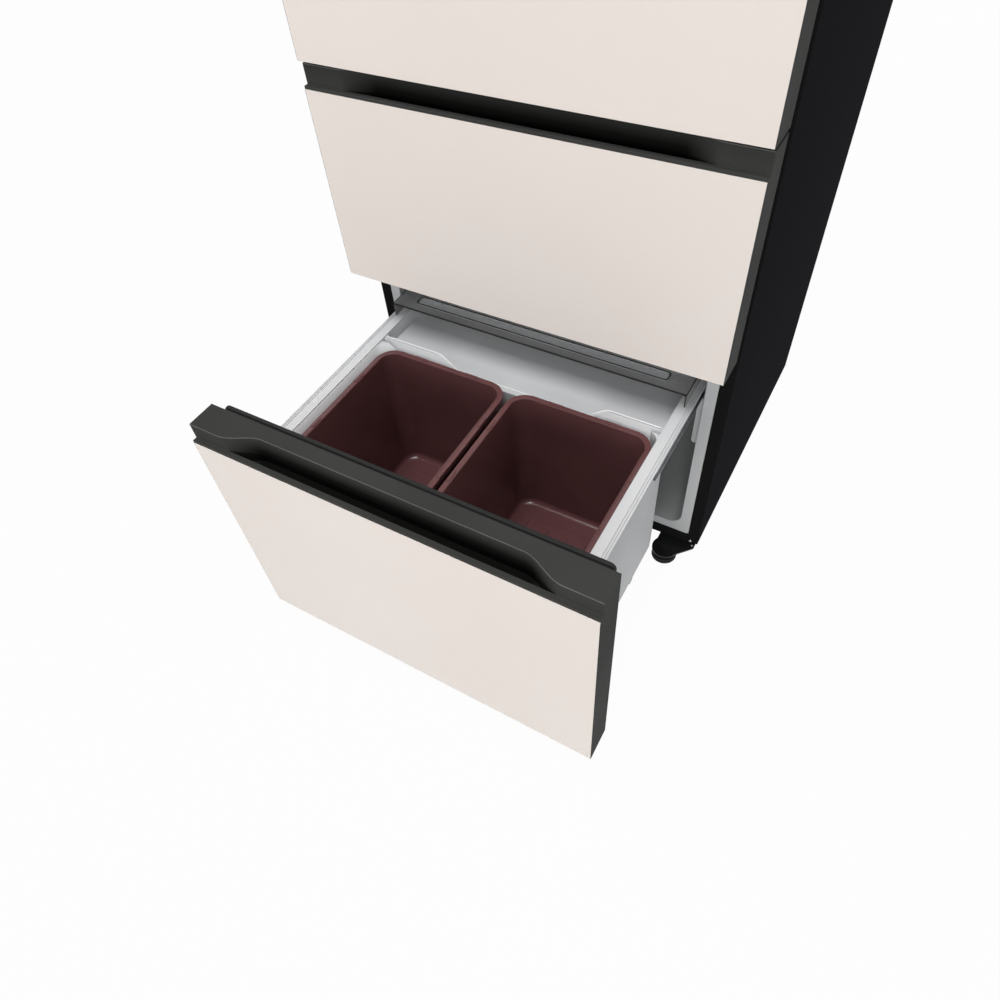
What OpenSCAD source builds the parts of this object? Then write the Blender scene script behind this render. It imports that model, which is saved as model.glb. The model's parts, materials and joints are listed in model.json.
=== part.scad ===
// Free-standing kimchi refrigerator: an upper door over two drawers, the lower one pulled out.
// Millimetres. X is the width, -Y the front, Z up. The origin is on the floor, at the middle of the
// whole object's length with the lower drawer out. Sizes inside the modules are counted from the
// closed front panels (y = 0) and from the floor (z = 0).

/* [Cabinet] */
// Width over the side panels
cab_w = 695; // [640:5:760]
// Height of the top panel above the floor
cab_h = 1838; // [1720:2:1900]
// Height of the side panels' lower edge above the floor
cab_bottom = 29; // [29:1:40]
// Depth of the cabinet without its fronts
cab_d = 604; // [580:2:660]
// Thickness of the outer steel sheets
sheet = 1; // [0.8:0.1:1.4]
// Width of the side panels' folded front edge
side_fold = 22; // [16:1:22]

/* [Compartments] */
// Insulation beside the compartments
side_wall = 42.5; // [38:0.5:50]
// Insulation behind the compartments
back_wall = 50; // [40:1:60]
// Insulation above the upper compartment
top_wall = 48; // [40:1:60]
// Insulation below the lower compartment
bottom_wall = 43; // [36:1:50]
// Height of the insulated walls between the compartments
divider_h = 85; // [70:1:92]
// Wall of the moulded liners
liner_t = 2; // [1.5:0.1:3]
// Width of the liners' front flange
flange_w = 20; // [14:1:20]
// Corner radius of the compartments
cavity_r = 28; // [15:1:40]
// Depth of the lower compartment in front of the machine room
deep_d = 323; // [315:1:335]
// Space between the raised floor over the machine room and the slides' supports
step_gap = 18; // [10:1:48]

/* [Fronts] */
// Gap between the cabinet's sides and the sides of its fronts
front_inset = 1.5; // [0.5:0.1:2.5]
// Height of the lowest front edge above the floor
front_bottom = 26; // [24:1:32]
// Height of the lower drawer's front
lower_front_h = 493; // [470:1:520]
// Height of the middle drawer's front
middle_front_h = 350; // [330:1:380]
// Gap between two fronts
front_gap = 6; // [5:0.5:8]
// Thickness of the fronts without the gasket
front_t = 58; // [52:1:66]
// Space for the gasket between front and cabinet
seal_gap = 16; // [12:0.5:18]
// Thickness of the coloured front panels
panel_t = 3; // [2:0.5:4]
// Wall of the dark frames, grips and inner panels
trim_t = 2; // [1.5:0.1:3]

/* [Grip] */
// Height of the dark grip band over a drawer's panel
grip_h = 33.5; // [28:0.5:40]
// Distance of the grip's lip behind the panel at both ends
lip_in = 8.6; // [6:0.2:12]
// Distance of the lip behind the panel in the middle
pocket_in = 32.4; // [28:0.1:38]
// Half of the straight length of the deep middle
pocket_half = 220; // [150:5:240]
// Length over which the lip curves back
pocket_blend = 70; // [50:5:90]
// Height of the ledge over the panel
ledge_h = 4.5; // [3:0.5:12]
// Width of the ledge behind the panel
ledge_w = 6.6; // [4:0.2:14]
// Depth of the finger pocket below the ledge
pocket_d = 20; // [12:1:26]

/* [Drawers] */
// How far the lower drawer is pulled out
lower_open = 425.7; // [300:0.1:425.7]
// Length of the slides
slide_l = 470; // [440:5:480]
// Height of the slides
slide_h = 24; // [20:1:26]
// Rim of a tub below the top of its front
rim_drop = 92; // [86:1:98]
// Cover plate above a tub's rim
cover_rise = 28; // [25:1:32]
// Overhang of the cover plates in front of the cabinet
cover_out = 45; // [30:1:46]
// Width of a tub's rim
rim_w = 25; // [20:1:30]
// Wall of the tubs
tub_t = 3; // [2:0.5:4]
// Corner radius of the tubs' wells
well_r = 22; // [10:1:30]
// Depth from rim to floor of the lower tub
lower_tub_h = 295; // [280:1:325]
// Middle tub above the floor of its compartment
tub_clear = 12.5; // [8:0.5:30]
// Depth of the tray behind the lower tub's well
tray_h = 28; // [18:1:40]
// Length of the tray behind the lower tub's well
tray_l = 170; // [120:1:180]

/* [Containers] */
// Wall of the containers
box_t = 3; // [2:0.5:4]
// Containers' rim below the tub's rim
box_drop = 12; // [8:1:20]
// Space round the containers
box_gap = 8; // [4:0.5:12]
// Width of the containers' rim
box_rim = 7; // [5:0.5:10]
// Corner radius of the containers
box_r = 30; // [18:1:32]
// Radius round the bottom of the lower containers
box_edge = 14; // [8:1:16]
// How far a container lifts out
lift_out = 310; // [280:5:330]

/* [Upper compartment] */
// Number of shelves
shelves = 3; // [2:1:4]
// Thickness of a glass shelf
shelf_t = 4; // [3:0.5:6]
// Depth of a shelf
shelf_d = 380; // [300:5:400]
// Number of door bins
bins = 3; // [2:1:4]
// Height of a door bin
bin_h = 95; // [70:5:120]
// Depth of a door bin
bin_d = 62; // [50:1:70]
// Evaporator cover in front of the rear wall
duct_d = 44; // [40:1:60]

/* [Door hinge] */
// Hinge axis in from the front's side edge
hinge_in = 20; // [18:0.5:24]
// Hinge axis behind the panel's face
hinge_back = 29; // [27:0.5:31]
// Radius of the hinge pins
hinge_pin_r = 5; // [4:0.5:6]
// Thickness of the hinge plates
hinge_t = 3; // [2.5:0.1:3]

/* [Feet and rollers] */
// Radius of the levelling feet
foot_r = 25; // [20:1:28]
// Height of a levelling foot's disc
foot_h = 10; // [8:1:12]
// Radius of the foot's stud
stud_r = 5; // [4:0.5:6]
// Feet in from the cabinet's sides
foot_in = 56.5; // [47.5:0.5:77.5]
// Feet behind the panels' face
foot_y = 43; // [36:1:50]
// Thickness of the foot brackets
foot_plate_t = 4; // [3:0.5:5]
// Radius of the rear rollers
roller_r = 13; // [11:0.5:13]
// Width of a rear roller
roller_w = 22; // [16:1:28]
// Radius of the rollers' axles
axle_r = 3; // [2.5:0.5:4]

/* [Machine room] */
// Radius of the compressor's can
can_r = 78; // [65:1:85]
// Height of the compressor's can
can_h = 150; // [130:1:160]
// Number of condenser fins
condenser_fins = 16; // [10:1:24]
// Number of evaporator fins
evaporator_fins = 18; // [12:1:24]
// Radius of the refrigerant tubes
tube_r = 4; // [3:0.5:5]
// Number of louvres in the rear cover
louvres = 9; // [6:1:12]

/* [Hidden] */

$fn = 48;
eps = 0.01;              // cuts reach this far past a face
fit = 0.3;               // gap between pieces that move past each other
bore_gap = 0.05;         // radial gap of a running fit
slide_gap = 0.5;         // gap between the members of a slide

cab_front = front_t + seal_gap;
cab_back = cab_front + cab_d;
half_cab = cab_w/2;
face_y = (lower_open - cab_back)/2;   // places the closed panels' face
inner_half = half_cab - side_wall;    // half width of the compartments
flange_half = inner_half + flange_w;
cavity_back = cab_back - back_wall;

front_half = half_cab - front_inset;
side_lip = 0.8;                       // lips of the frame beside a panel
front_w = 2*front_half;
lower_top = front_bottom + lower_front_h;
middle_bottom = lower_top + front_gap;
middle_top = middle_bottom + middle_front_h;
upper_bottom = middle_top + front_gap;
upper_top = cab_h - 2;                // the door passes under the top hinge
lower_line = lower_top + front_gap/2; // heights of the gaps between the fronts
upper_line = middle_top + front_gap/2;

lower_z0 = cab_bottom + bottom_wall;
lower_z1 = lower_line - divider_h/2;
middle_z0 = lower_line + divider_h/2;
middle_z1 = upper_line - divider_h/2;
upper_z0 = upper_line + divider_h/2;
upper_z1 = cab_h - top_wall;

// Slides, worked out from the liner's wall inwards
boss_t = 5.5;                         // moulded support on the liner's wall
slide_y = cab_front + 26;
member_t = 1.5;
outer_x1 = inner_half - boss_t;
outer_x0 = outer_x1 - 8;
middle_x1 = outer_x1 - member_t - slide_gap;
middle_x0 = outer_x0 - 8;
inner_x1 = middle_x0 + 5.5 - slide_gap;
inner_x0 = middle_x0 - slide_gap;
slide_drop = 5;                       // slide's top below the tub's rim
boss_down = 20;                       // the supports reach this far below a slide
pad_down = 108;                       // their front blocks reach this far below a slide
pad_t = 14;                           // thickness of the blocks
pad_l = 130;
pad_r = 6;

step_y = cab_front + deep_d;          // front of the raised floor
step_h = slide_top(lower_top) - slide_h - boss_down - step_gap;
room_wall = 36;                       // insulation round the machine room
room_y = step_y + room_wall;
room_top = step_h - room_wall;

tab_drop = 8;                         // cover plate's tabs below its top
rim_t = 3.5;
rim_half = outer_x1 - 1.5;            // half width over a tub's rim
rim_y = front_t + 4;                  // front of the tub, behind the inner panel
rim_front = 6;                        // width of the rim at the tub's front and back
tray_r = 12;                          // corner radius of the tray
ridge_d = 12;                         // depth of the ridge between well and tray
ridge_shift = 12;                     // the ridge's low part stands this far to the right,
ridge_low = 122;                      // begins to rise this far from its middle
ridge_high = 170;                     // and is at its full height from here
well_half = rim_half - rim_w;         // half width of the tub's well
well_y = step_y - 9;                  // rear inner face of the lower tub's well
tub_back = well_y + tray_l;
middle_tub_h = rim_z(middle_top) - middle_z0 - tub_clear;
box_x = box_gap/2 + 1;                // inner side of the containers' rims
box_w = well_half - box_x - 6;
box_shift = 4;                        // the lower containers stand this far to the right
box_back = 2;                         // and this far in front of the well's rear face
lower_box_d = well_y - rim_y - rim_front - box_gap - box_back;
middle_box_d = (tub_back - rim_y - rim_front - 3*box_gap)/2;
box_fold = 10;                        // depth of the containers' folded rim
cover_half = inner_half - 18;
cover_t = 2.5;
skirt_h = cover_rise - 3;
cover_y = cab_front - cover_out;
recess_y = cover_y - 3;               // bottom of the inner panels' dish for the cover

hinge_x = front_half - hinge_in;
gasket_out = 25;                      // door gasket beyond the compartment's walls
drawer_gasket_out = 29;               // drawer gaskets beyond theirs
gasket_w = 18;
gasket_in = 8;                        // gasket in from the front's top edge
foot_x = half_cab - foot_in;
foot_plate_z = front_bottom - 1.5;    // top of the foot brackets, under the shut drawer
duct_y = cavity_back - duct_d;
coil_w = 2*(inner_half - 105);
coil_d = 28;
coil_h = 0.3*(upper_z1 - upper_z0);
coil_up = 160;                        // evaporator's coil above the compartment's floor
plate_half = inner_half - 85;         // half width of the drawer compartments' cooling plates
lamp_half = inner_half - 185;
display_half = inner_half - 215;
shelf_pitch = (upper_z1 - upper_z0)/(shelves + 1);
bin_pitch = (upper_top - upper_bottom - 130)/bins;
fan_z = upper_z1 - 215;
fan_r = 50;
rail_foot = 15;                       // depth of the front rail's lower flange

// ---- Helpers -------------------------------------------------------------------------------

module slab(x0, x1, y0, y1, z0, z1)
    translate([x0, y0, z0]) cube([x1 - x0, y1 - y0, z1 - z0]);

module both_sides() {
    children();
    mirror([1, 0, 0]) children();
}

// Extrudes an outline drawn in X and Z from y0 to y1
module along_y(y0, y1)
    translate([0, y1, 0]) rotate([90, 0, 0]) linear_extrude(y1 - y0) children();

// Extrudes an outline drawn in Y and Z from x0 to x1
module along_x(x0, x1)
    translate([x0, 0, 0]) rotate([90, 0, 90]) linear_extrude(x1 - x0) children();

// Rectangle with rounded corners from corner a to corner b
module soft_rect(a, b, r) {
    translate([a.x + r, a.y]) square([b.x - a.x - 2*r, b.y - a.y]);
    translate([a.x, a.y + r]) square([b.x - a.x, b.y - a.y - 2*r]);
    for (x = [a.x + r, b.x - r], y = [a.y + r, b.y - r])
        translate([x, y]) circle(r);
}

// Block from corner a to corner b: round upright corners and lower edges, sharp top edges
module soft_box(a, b, r) {
    for (x = [a.x + r, b.x - r], y = [a.y + r, b.y - r]) {
        translate([x, y, a.z + r]) sphere(r);
        translate([x, y, a.z + r]) cylinder(h = b.z - a.z - r, r = r);
    }
    for (x = [a.x + r, b.x - r])
        translate([x, a.y + r, a.z + r]) rotate([-90, 0, 0]) cylinder(h = b.y - a.y - 2*r, r = r);
    for (y = [a.y + r, b.y - r])
        translate([a.x + r, y, a.z + r]) rotate([0, 90, 0]) cylinder(h = b.x - a.x - 2*r, r = r);
    slab(a.x + r, b.x - r, a.y + r, b.y - r, a.z, b.z);
    slab(a.x, b.x, a.y + r, b.y - r, a.z + r, b.z);
    slab(a.x + r, b.x - r, a.y, b.y, a.z + r, b.z);
}

// The same with bottom edges of radius rb, less than the radius r of the upright corners
module soft_pan(a, b, r, rb) {
    for (x = [a.x + r, b.x - r], y = [a.y + r, b.y - r]) translate([x, y, 0]) {
        translate([0, 0, a.z + rb]) rotate_extrude() translate([r - rb, 0]) circle(rb);
        translate([0, 0, a.z]) cylinder(h = b.z - a.z, r = r - rb);
        translate([0, 0, a.z + rb]) cylinder(h = b.z - a.z - rb, r = r);
    }
    for (x = [a.x + rb, b.x - rb])
        translate([x, a.y + r, a.z + rb]) rotate([-90, 0, 0]) cylinder(h = b.y - a.y - 2*r, r = rb);
    for (y = [a.y + rb, b.y - rb])
        translate([a.x + r, y, a.z + rb]) rotate([0, 90, 0]) cylinder(h = b.x - a.x - 2*r, r = rb);
    slab(a.x + r, b.x - r, a.y + rb, b.y - rb, a.z, b.z);
    slab(a.x + rb, b.x - rb, a.y + r, b.y - r, a.z, b.z);
    slab(a.x, b.x, a.y + r, b.y - r, a.z + rb, b.z);
    slab(a.x + r, b.x - r, a.y, b.y, a.z + rb, b.z);
}

// Straight round bar between two points
module bar(a, b, r) {
    d = b - a;
    l = norm(d);
    translate(a) rotate([0, acos(d.z/l), atan2(d.y, d.x)]) cylinder(h = l, r = r);
}

// Puts a piece at its place in the whole object, pulled out to the front by out
module place(out = 0)
    translate([0, face_y - out, 0]) children();

// ---- Cabinet -------------------------------------------------------------------------------

module side_panel() {
    slab(half_cab - sheet, half_cab, cab_front, cab_back, cab_bottom, cab_h - sheet);
    slab(half_cab - side_fold, half_cab - sheet + eps, cab_front, cab_front + sheet,
         cab_bottom, cab_h - sheet);
    slab(half_cab - side_fold, half_cab - sheet + eps, cab_back - sheet, cab_back,
         cab_bottom, cab_h - sheet);
}

module roof() {
    slab(-half_cab, half_cab, cab_front, cab_back, cab_h - sheet, cab_h);
    slab(-half_cab + side_fold, half_cab - side_fold, cab_front, cab_front + sheet,
         upper_z1 + flange_w, cab_h - sheet + eps);
}

module back_sheet()
    slab(-half_cab + sheet, half_cab - sheet, cab_back - 2*sheet, cab_back - sheet,
         room_top + sheet, cab_h - sheet);

// Stepped sheet: floor under the lower compartment, riser and ceiling of the machine room,
// compressor plate, and the ears with the axles of the rear rollers
module stepped_base() {
    half = half_cab - sheet;
    ear_t = 3;
    slab(-half, half, cab_front + sheet, cab_back - sheet, cab_bottom, cab_bottom + sheet);
    slab(-half, half, room_y - sheet, room_y, cab_bottom, room_top + sheet);
    slab(-half, half, room_y - sheet, cab_back - sheet, room_top, room_top + sheet);
    both_sides() {
        for (x = [roller_x() - roller_w/2 - fit - ear_t, roller_x() + roller_w/2 + fit])
            slab(x, x + ear_t, roller_y() - 9, roller_y() + 9, roller_r - 7, cab_bottom + eps);
        translate([roller_x() - roller_w/2 - fit - ear_t, roller_y(), roller_r])
            rotate([0, 90, 0]) cylinder(h = roller_w + 2*fit + 2*ear_t, r = axle_r);
    }
}

function roller_x() = half_cab - 57;
function roller_y() = cab_back - 38;

// Bar from fold to fold across the cabinet's front
module front_bar(z0, z1)
    slab(-half_cab + side_fold, half_cab - side_fold, cab_front, cab_front + sheet, z0, z1);

// Rail under the lower compartment with its foot flange, and the bars of the two dividers
module rails_across_front() {
    front_bar(foot_plate_z, lower_z0 - flange_w);
    slab(-half_cab + side_fold, half_cab - side_fold, cab_front, cab_front + rail_foot,
         foot_plate_z, foot_plate_z + sheet);
    for (line = [lower_line, upper_line])
        front_bar(line - divider_h/2 + flange_w, line + divider_h/2 - flange_w);
}

// Solid of a compartment from front to back, grown on all sides
module cavity(z0, z1, grow, front = 0)
    along_y(cab_front - front, cavity_back + grow)
        soft_rect([-inner_half - grow, z0 - grow], [inner_half + grow, z1 + grow], cavity_r + grow);

// Flange round a compartment's mouth
module flange(z0, z1)
    along_y(cab_front, cab_front + liner_t)
        soft_rect([-flange_half, z0 - flange_w], [flange_half, z1 + flange_w], 6);

// Moulded supports of a drawer's slides and of the cover plate's tabs, with a block at the front
module rail_bosses(top) {
    y0 = slide_y - 6;
    z0 = slide_top(top) - slide_h;
    both_sides() {
        slab(outer_x1, inner_half + eps, y0, slide_y + slide_l + 10, z0 - boss_down,
             rim_z(top) + cover_rise - tab_drop);
        along_y(y0, y0 + pad_l)
            soft_rect([inner_half - pad_t, z0 - pad_down], [inner_half + eps, z0], pad_r);
    }
}

function rim_z(top) = top - rim_drop;

module upper_shell() {
    difference() {
        union() {
            cavity(upper_z0, upper_z1, liner_t);
            flange(upper_z0, upper_z1);
        }
        cavity(upper_z0, upper_z1, 0, 1);
    }
    both_sides() for (i = [1:shelves])
        slab(inner_half - 9, inner_half + eps, shelf_y(), shelf_y() + shelf_d,
             shelf_z(i) - 8, shelf_z(i));
}

function shelf_y() = duct_y - 6 - shelf_d;
function shelf_z(i) = upper_z0 + i*shelf_pitch;

module middle_shell() {
    difference() {
        union() {
            cavity(middle_z0, middle_z1, liner_t);
            flange(middle_z0, middle_z1);
        }
        cavity(middle_z0, middle_z1, 0, 1);
    }
    rail_bosses(middle_top);
}

// The raised floor over the machine room, cut out of the lower compartment
module step(grow)
    slab(-half_cab, half_cab, step_y + grow, cab_back, 0, step_h - grow);

module lower_shell() {
    difference() {
        union() {
            difference() {
                cavity(lower_z0, lower_z1, liner_t);
                step(liner_t);
            }
            flange(lower_z0, lower_z1);
        }
        difference() {
            cavity(lower_z0, lower_z1, 0, 1);
            step(0);
        }
    }
    rail_bosses(lower_top);
}

module cabinet_foam() {
    difference() {
        slab(-half_cab + sheet, half_cab - sheet, cab_front + liner_t, cab_back - 2*sheet,
             cab_bottom + sheet, cab_h - sheet);
        cavity(upper_z0, upper_z1, liner_t);
        cavity(middle_z0, middle_z1, liner_t);
        difference() {
            cavity(lower_z0, lower_z1, liner_t);
            step(liner_t);
        }
        slab(-half_cab, half_cab, room_y - sheet, cab_back, 0, room_top + sheet);
    }
}

module shelf_set()
    for (i = [1:shelves])
        slab(-inner_half + 2, inner_half - 2, shelf_y(), shelf_y() + shelf_d,
             shelf_z(i), shelf_z(i) + shelf_t);

// ---- Cooling -------------------------------------------------------------------------------

// Air duct panel over the evaporator, with outlet slots, intake slots and the fan's opening
module duct_panel() {
    half = inner_half - 22;
    z0 = upper_z0 + 40;
    z1 = upper_z1 - 60;
    difference() {
        slab(-half, half, duct_y, cavity_back, z0, z1);
        slab(-half + trim_t, half - trim_t, duct_y + trim_t, cavity_back + 1,
             z0 + trim_t, z1 - trim_t);
        translate([0, duct_y - 1, fan_z]) rotate([-90, 0, 0]) cylinder(h = trim_t + 2, r = fan_r + 4);
        for (i = [0:5])
            slab(-half + 40, half - 40, duct_y - 1, duct_y + trim_t + 1, z0 + 30 + 12*i, z0 + 35 + 12*i);
        for (x = [-half + 70, half - 170], i = [1:shelves])
            slab(x, x + 100, duct_y - 1, duct_y + trim_t + 1, shelf_z(i) + 60, shelf_z(i) + 72);
    }
    // motor bracket across the fan's opening, behind the fan
    slab(-fan_r - 12, fan_r + 12, duct_y + 23, duct_y + 25, fan_z - 11, fan_z + 11);
    for (x = [-fan_r - 12, fan_r + 8])
        slab(x, x + 4, duct_y + trim_t - eps, duct_y + 25, fan_z - 11, fan_z + 11);
    translate([0, duct_y + 12, fan_z]) rotate([-90, 0, 0]) cylinder(h = 12, r = 3);
}

// Hub and slanted blades of an axial fan, with a bore for its shaft
module fan(r, depth, blades) {
    difference() {
        union() {
            cylinder(h = depth, r = r*0.3);
            intersection() {
                for (i = [0:blades - 1])
                    rotate([0, 0, 360*i/blades]) translate([r*0.6, 0, depth/2])
                        rotate([32, 0, 0]) cube([r*0.84, r*0.5, 1.6], center = true);
                cylinder(h = depth, r = r);
            }
        }
        translate([0, 0, depth*0.3]) cylinder(h = depth, r = 3 + bore_gap);
    }
}

module duct_fan()
    translate([0, duct_y + 6, fan_z]) rotate([-90, 0, 0]) fan(fan_r, 16, 5);

// Rows of straight tubes through thin fins, joined by U-bends: w across, d deep, h high
module fin_coil(w, d, h, fins, rows) {
    pitch = h/rows;
    over = 8;
    for (i = [0:fins - 1])
        translate([-w/2 + i*w/(fins - 1) - 0.5, 0, 0]) cube([1, d, h]);
    for (k = [0:rows - 1])
        translate([-w/2 - over, d/2, pitch*(k + 0.5)])
            rotate([0, 90, 0]) cylinder(h = w + 2*over, r = tube_r, $fn = 20);
    for (k = [0:rows - 2]) {
        side = k % 2 == 0 ? 1 : -1;
        translate([side*(w/2 + over), d/2, pitch*(k + 1)]) rotate([90, 0, 0])
            rotate([0, 0, side > 0 ? -90 : 90]) rotate_extrude(angle = 180, $fn = 32)
                translate([pitch/2, 0]) circle(tube_r, $fn = 20);
    }
}

module evaporator_coil() {
    coil_z = upper_z0 + coil_up;
    strap_x = coil_w/2 - 11;
    translate([0, cavity_back - coil_d - 6, coil_z]) fin_coil(coil_w, coil_d, coil_h, evaporator_fins, 5);
    // straps that hold the coil's tubes on the compartment's rear wall
    both_sides()
        slab(strap_x - 2, strap_x + 2, cavity_back - coil_d/2 - 6, cavity_back,
             coil_z + 20, coil_z + coil_h - 20);
}

// Roll-bonded plates on the rear walls of the drawer compartments
module cold_plates()
    for (z = [[middle_z0 + 40, middle_z1 - 75], [step_h + 20, lower_z1 - 30]]) {
        slab(-plate_half, plate_half, cavity_back - 2, cavity_back, z[0], z[1]);
        for (i = [0:3])
            translate([20 - plate_half, cavity_back - 3.2, z[0] + (z[1] - z[0])*(i + 0.5)/4])
                rotate([0, 90, 0]) cylinder(h = 2*plate_half - 40, r = tube_r - 1);
    }

// ---- Drawers' covers and slides ------------------------------------------------------------

// Smoked plate above a tub: a finger slot near its front edge, side skirts, and tabs that lie on
// the moulded supports
module cover_plate(top) {
    z = rim_z(top) + cover_rise;
    back = tub_back - 12;
    slot_half = cover_half - 42;
    slot_y = cover_y + 18;
    slot_w = 18;
    slot_r = 5;
    slot_lip = 2;                     // width and height of the raised lip round the slot
    difference() {
        slab(-cover_half, cover_half, cover_y, back, z, z + cover_t);
        translate([0, 0, z - 1]) linear_extrude(cover_t + 2)
            soft_rect([-slot_half, slot_y], [slot_half, slot_y + slot_w], slot_r);
    }
    translate([0, 0, z]) linear_extrude(cover_t + slot_lip) difference() {
        soft_rect([-slot_half - slot_lip, slot_y - slot_lip],
            [slot_half + slot_lip, slot_y + slot_w + slot_lip], slot_r + slot_lip);
        soft_rect([-slot_half, slot_y], [slot_half, slot_y + slot_w], slot_r);
    }
    both_sides() {
        slab(cover_half - cover_t, cover_half, cover_y, back, z - skirt_h, z + eps);
        for (y = [slide_y + 10, back - 60])
            slab(cover_half - eps, inner_half - fit, y, y + 50, z - tab_drop, z - tab_drop + cover_t);
    }
}

function slide_top(top) = rim_z(top) - slide_drop;

// Channel with flanges of the given reach: negative reach opens towards the middle
module channel(x_web, reach, z0, z1, y0, y1) {
    x0 = min(x_web, x_web + reach);
    x1 = max(x_web, x_web + reach);
    web0 = reach < 0 ? x_web - member_t : x_web;
    slab(web0, web0 + member_t, y0, y1, z0, z1);
    slab(x0, x1, y0, y1, z0, z0 + member_t);
    slab(x0, x1, y0, y1, z1 - member_t, z1);
}

module outer_members()
    for (top = [lower_top, middle_top])
        both_sides()
            channel(outer_x1, -8, slide_top(top) - slide_h, slide_top(top), slide_y, slide_y + slide_l);

// I-section between the outer channel and the drawer's own channel
module middle_members(top) {
    z0 = slide_top(top) - slide_h + member_t + slide_gap;
    z1 = slide_top(top) - member_t - slide_gap;
    web = middle_x0 + 5.5;
    both_sides() {
        slab(web, web + member_t, slide_y, slide_y + slide_l, z0, z1);
        for (z = [z0, z1 - member_t])
            slab(middle_x0, middle_x1, slide_y, slide_y + slide_l, z, z + member_t);
    }
}

// Rectangle from a to b with its rear lower corner rounded
module side_plate(a, b, r) {
    soft_rect(a, b, r);
    translate(a) square([r, b.y - a.y]);
    translate([a.x, b.y - r]) square([b.x - a.x, r]);
}

// Inner channels of the slides with the steel side plates that carry the tub
module drawer_rails(top, tub_h, plate_y1) {
    z1 = slide_top(top) - 2*(member_t + slide_gap);
    z0 = slide_top(top) - slide_h + 2*(member_t + slide_gap);
    floor_z = rim_z(top) - tub_h;
    both_sides() {
        channel(inner_x0, inner_x1 - inner_x0, z0, z1, slide_y, slide_y + slide_l);
        // plate beside the tub, from the drawer's inner panel back, under the tub's rim
        along_x(inner_x0 - member_t, inner_x0 + eps)
            side_plate([front_t, floor_z - member_t], [plate_y1, rim_z(top) - rim_t], 16);
        // stop under the plate's rear end
        slab(inner_x0 - member_t - 6, inner_x0 + eps, plate_y1 - 92, plate_y1 - 80,
             floor_z - 9, floor_z - member_t + eps);
        // ledge under the tub's floor
        slab(inner_x0 - 40, inner_x0, front_t + 8, plate_y1, floor_z - member_t, floor_z);
    }
}

// ---- Drawer fronts -------------------------------------------------------------------------

// How far behind the panel's face the lip lies, at a distance x from the middle
function lip(x) = let (t = min(max((abs(x) - pocket_half)/pocket_blend, 0), 1))
    pocket_in + (lip_in - pocket_in)*(1 - cos(180*t))/2;

// Points of the lip's S-curve from the left end to the right end
function lip_line(half, shift) = let (n = 12) concat(
    [[-half, lip_in + shift]],
    [for (i = [n:-1:0]) let (x = pocket_half + pocket_blend*i/n) [-x, lip(x) + shift]],
    [for (i = [0:n]) let (x = pocket_half + pocket_blend*i/n) [x, lip(x) + shift]],
    [[half, lip_in + shift]]);

// Outline between the lip's curve and a straight line behind it
module behind_lip(half, shift, y1)
    polygon(concat(lip_line(half, shift), [[half, y1], [-half, y1]]));

module front_panel(z0, z1)
    slab(-front_half + side_lip, front_half - side_lip, 0, panel_t, z0, z1);

// Dark frame: sides, bottom and a narrow border at the back
module front_frame(z0, z1) {
    both_sides() {
        slab(front_half - trim_t, front_half, panel_t, front_t, z0, z1);
        slab(front_half - side_lip, front_half, 0.3, panel_t + eps, z0, z1);
        slab(front_half - 14, front_half - trim_t + eps, front_t - trim_t, front_t, z0, z1);
        slab(front_half - 8, front_half - trim_t + eps, panel_t, panel_t + trim_t, z0, z1 - pocket_d);
    }
    slab(-front_half, front_half, panel_t, front_t, z0, z0 + trim_t);
}

// Grip band: top plate with the curved lip, wall under the lip, pocket floor, ledge and ends
module grip(top) {
    band = top - grip_h;
    floor_z = band - pocket_d;
    translate([0, 0, top - trim_t]) linear_extrude(trim_t) behind_lip(front_half, 0, front_t);
    translate([0, 0, floor_z]) linear_extrude(top - floor_z) difference() {
        behind_lip(front_half - trim_t, 0, front_t);
        behind_lip(front_half, trim_t, front_t + 1);
    }
    translate([0, 0, floor_z]) linear_extrude(trim_t) difference() {
        translate([-front_half + trim_t, panel_t]) square([front_w - 2*trim_t, front_t - panel_t]);
        behind_lip(front_half, trim_t, front_t + 1);
    }
    slab(-front_half + trim_t, front_half - trim_t, panel_t, panel_t + trim_t, floor_z, band);
    // ledge: its rear edge meets the wall at both ends
    translate([0, 0, band]) linear_extrude(ledge_h) difference() {
        translate([-front_half, 1]) square([front_w, panel_t + ledge_w - 1]);
        behind_lip(front_half + 1, trim_t/2, front_t);
    }
    both_sides()
        slab(front_half - trim_t, front_half, lip_in, front_t, band, top);
    slab(-front_half, front_half, front_t - trim_t, front_t, top - 14, top);
}

// Inner panel with the dish that the cover plate's front edge enters when the drawer is shut
module drawer_inner_panel(z0, top) {
    d0 = rim_z(top) - 6;
    d1 = rim_z(top) + cover_rise + cover_t + 6;
    half = rim_half + 3;
    difference() {
        union() {
            slab(-front_half + 14 + fit, front_half - 14 - fit, front_t - trim_t, front_t,
                 z0 + trim_t, top - 14);
            slab(-half, half, recess_y - trim_t, front_t, d0 - trim_t, d1 + trim_t);
        }
        slab(-half + trim_t, half - trim_t, recess_y, front_t + 1, d0, d1);
    }
}

module drawer_foam(z0, top) {
    band = top - grip_h;
    difference() {
        slab(-front_half + trim_t, front_half - trim_t, panel_t + trim_t, front_t - trim_t,
             z0 + trim_t, top - trim_t);
        translate([0, 0, band - pocket_d]) linear_extrude(grip_h + pocket_d)
            difference() {
                translate([-front_half, 0]) square([front_w, front_t]);
                behind_lip(front_half + 1, trim_t, front_t + 1);
            }
        slab(-rim_half - 3, rim_half + 3, recess_y - trim_t, front_t,
             rim_z(top) - 6 - trim_t, rim_z(top) + cover_rise + cover_t + 6 + trim_t);
    }
}

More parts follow.
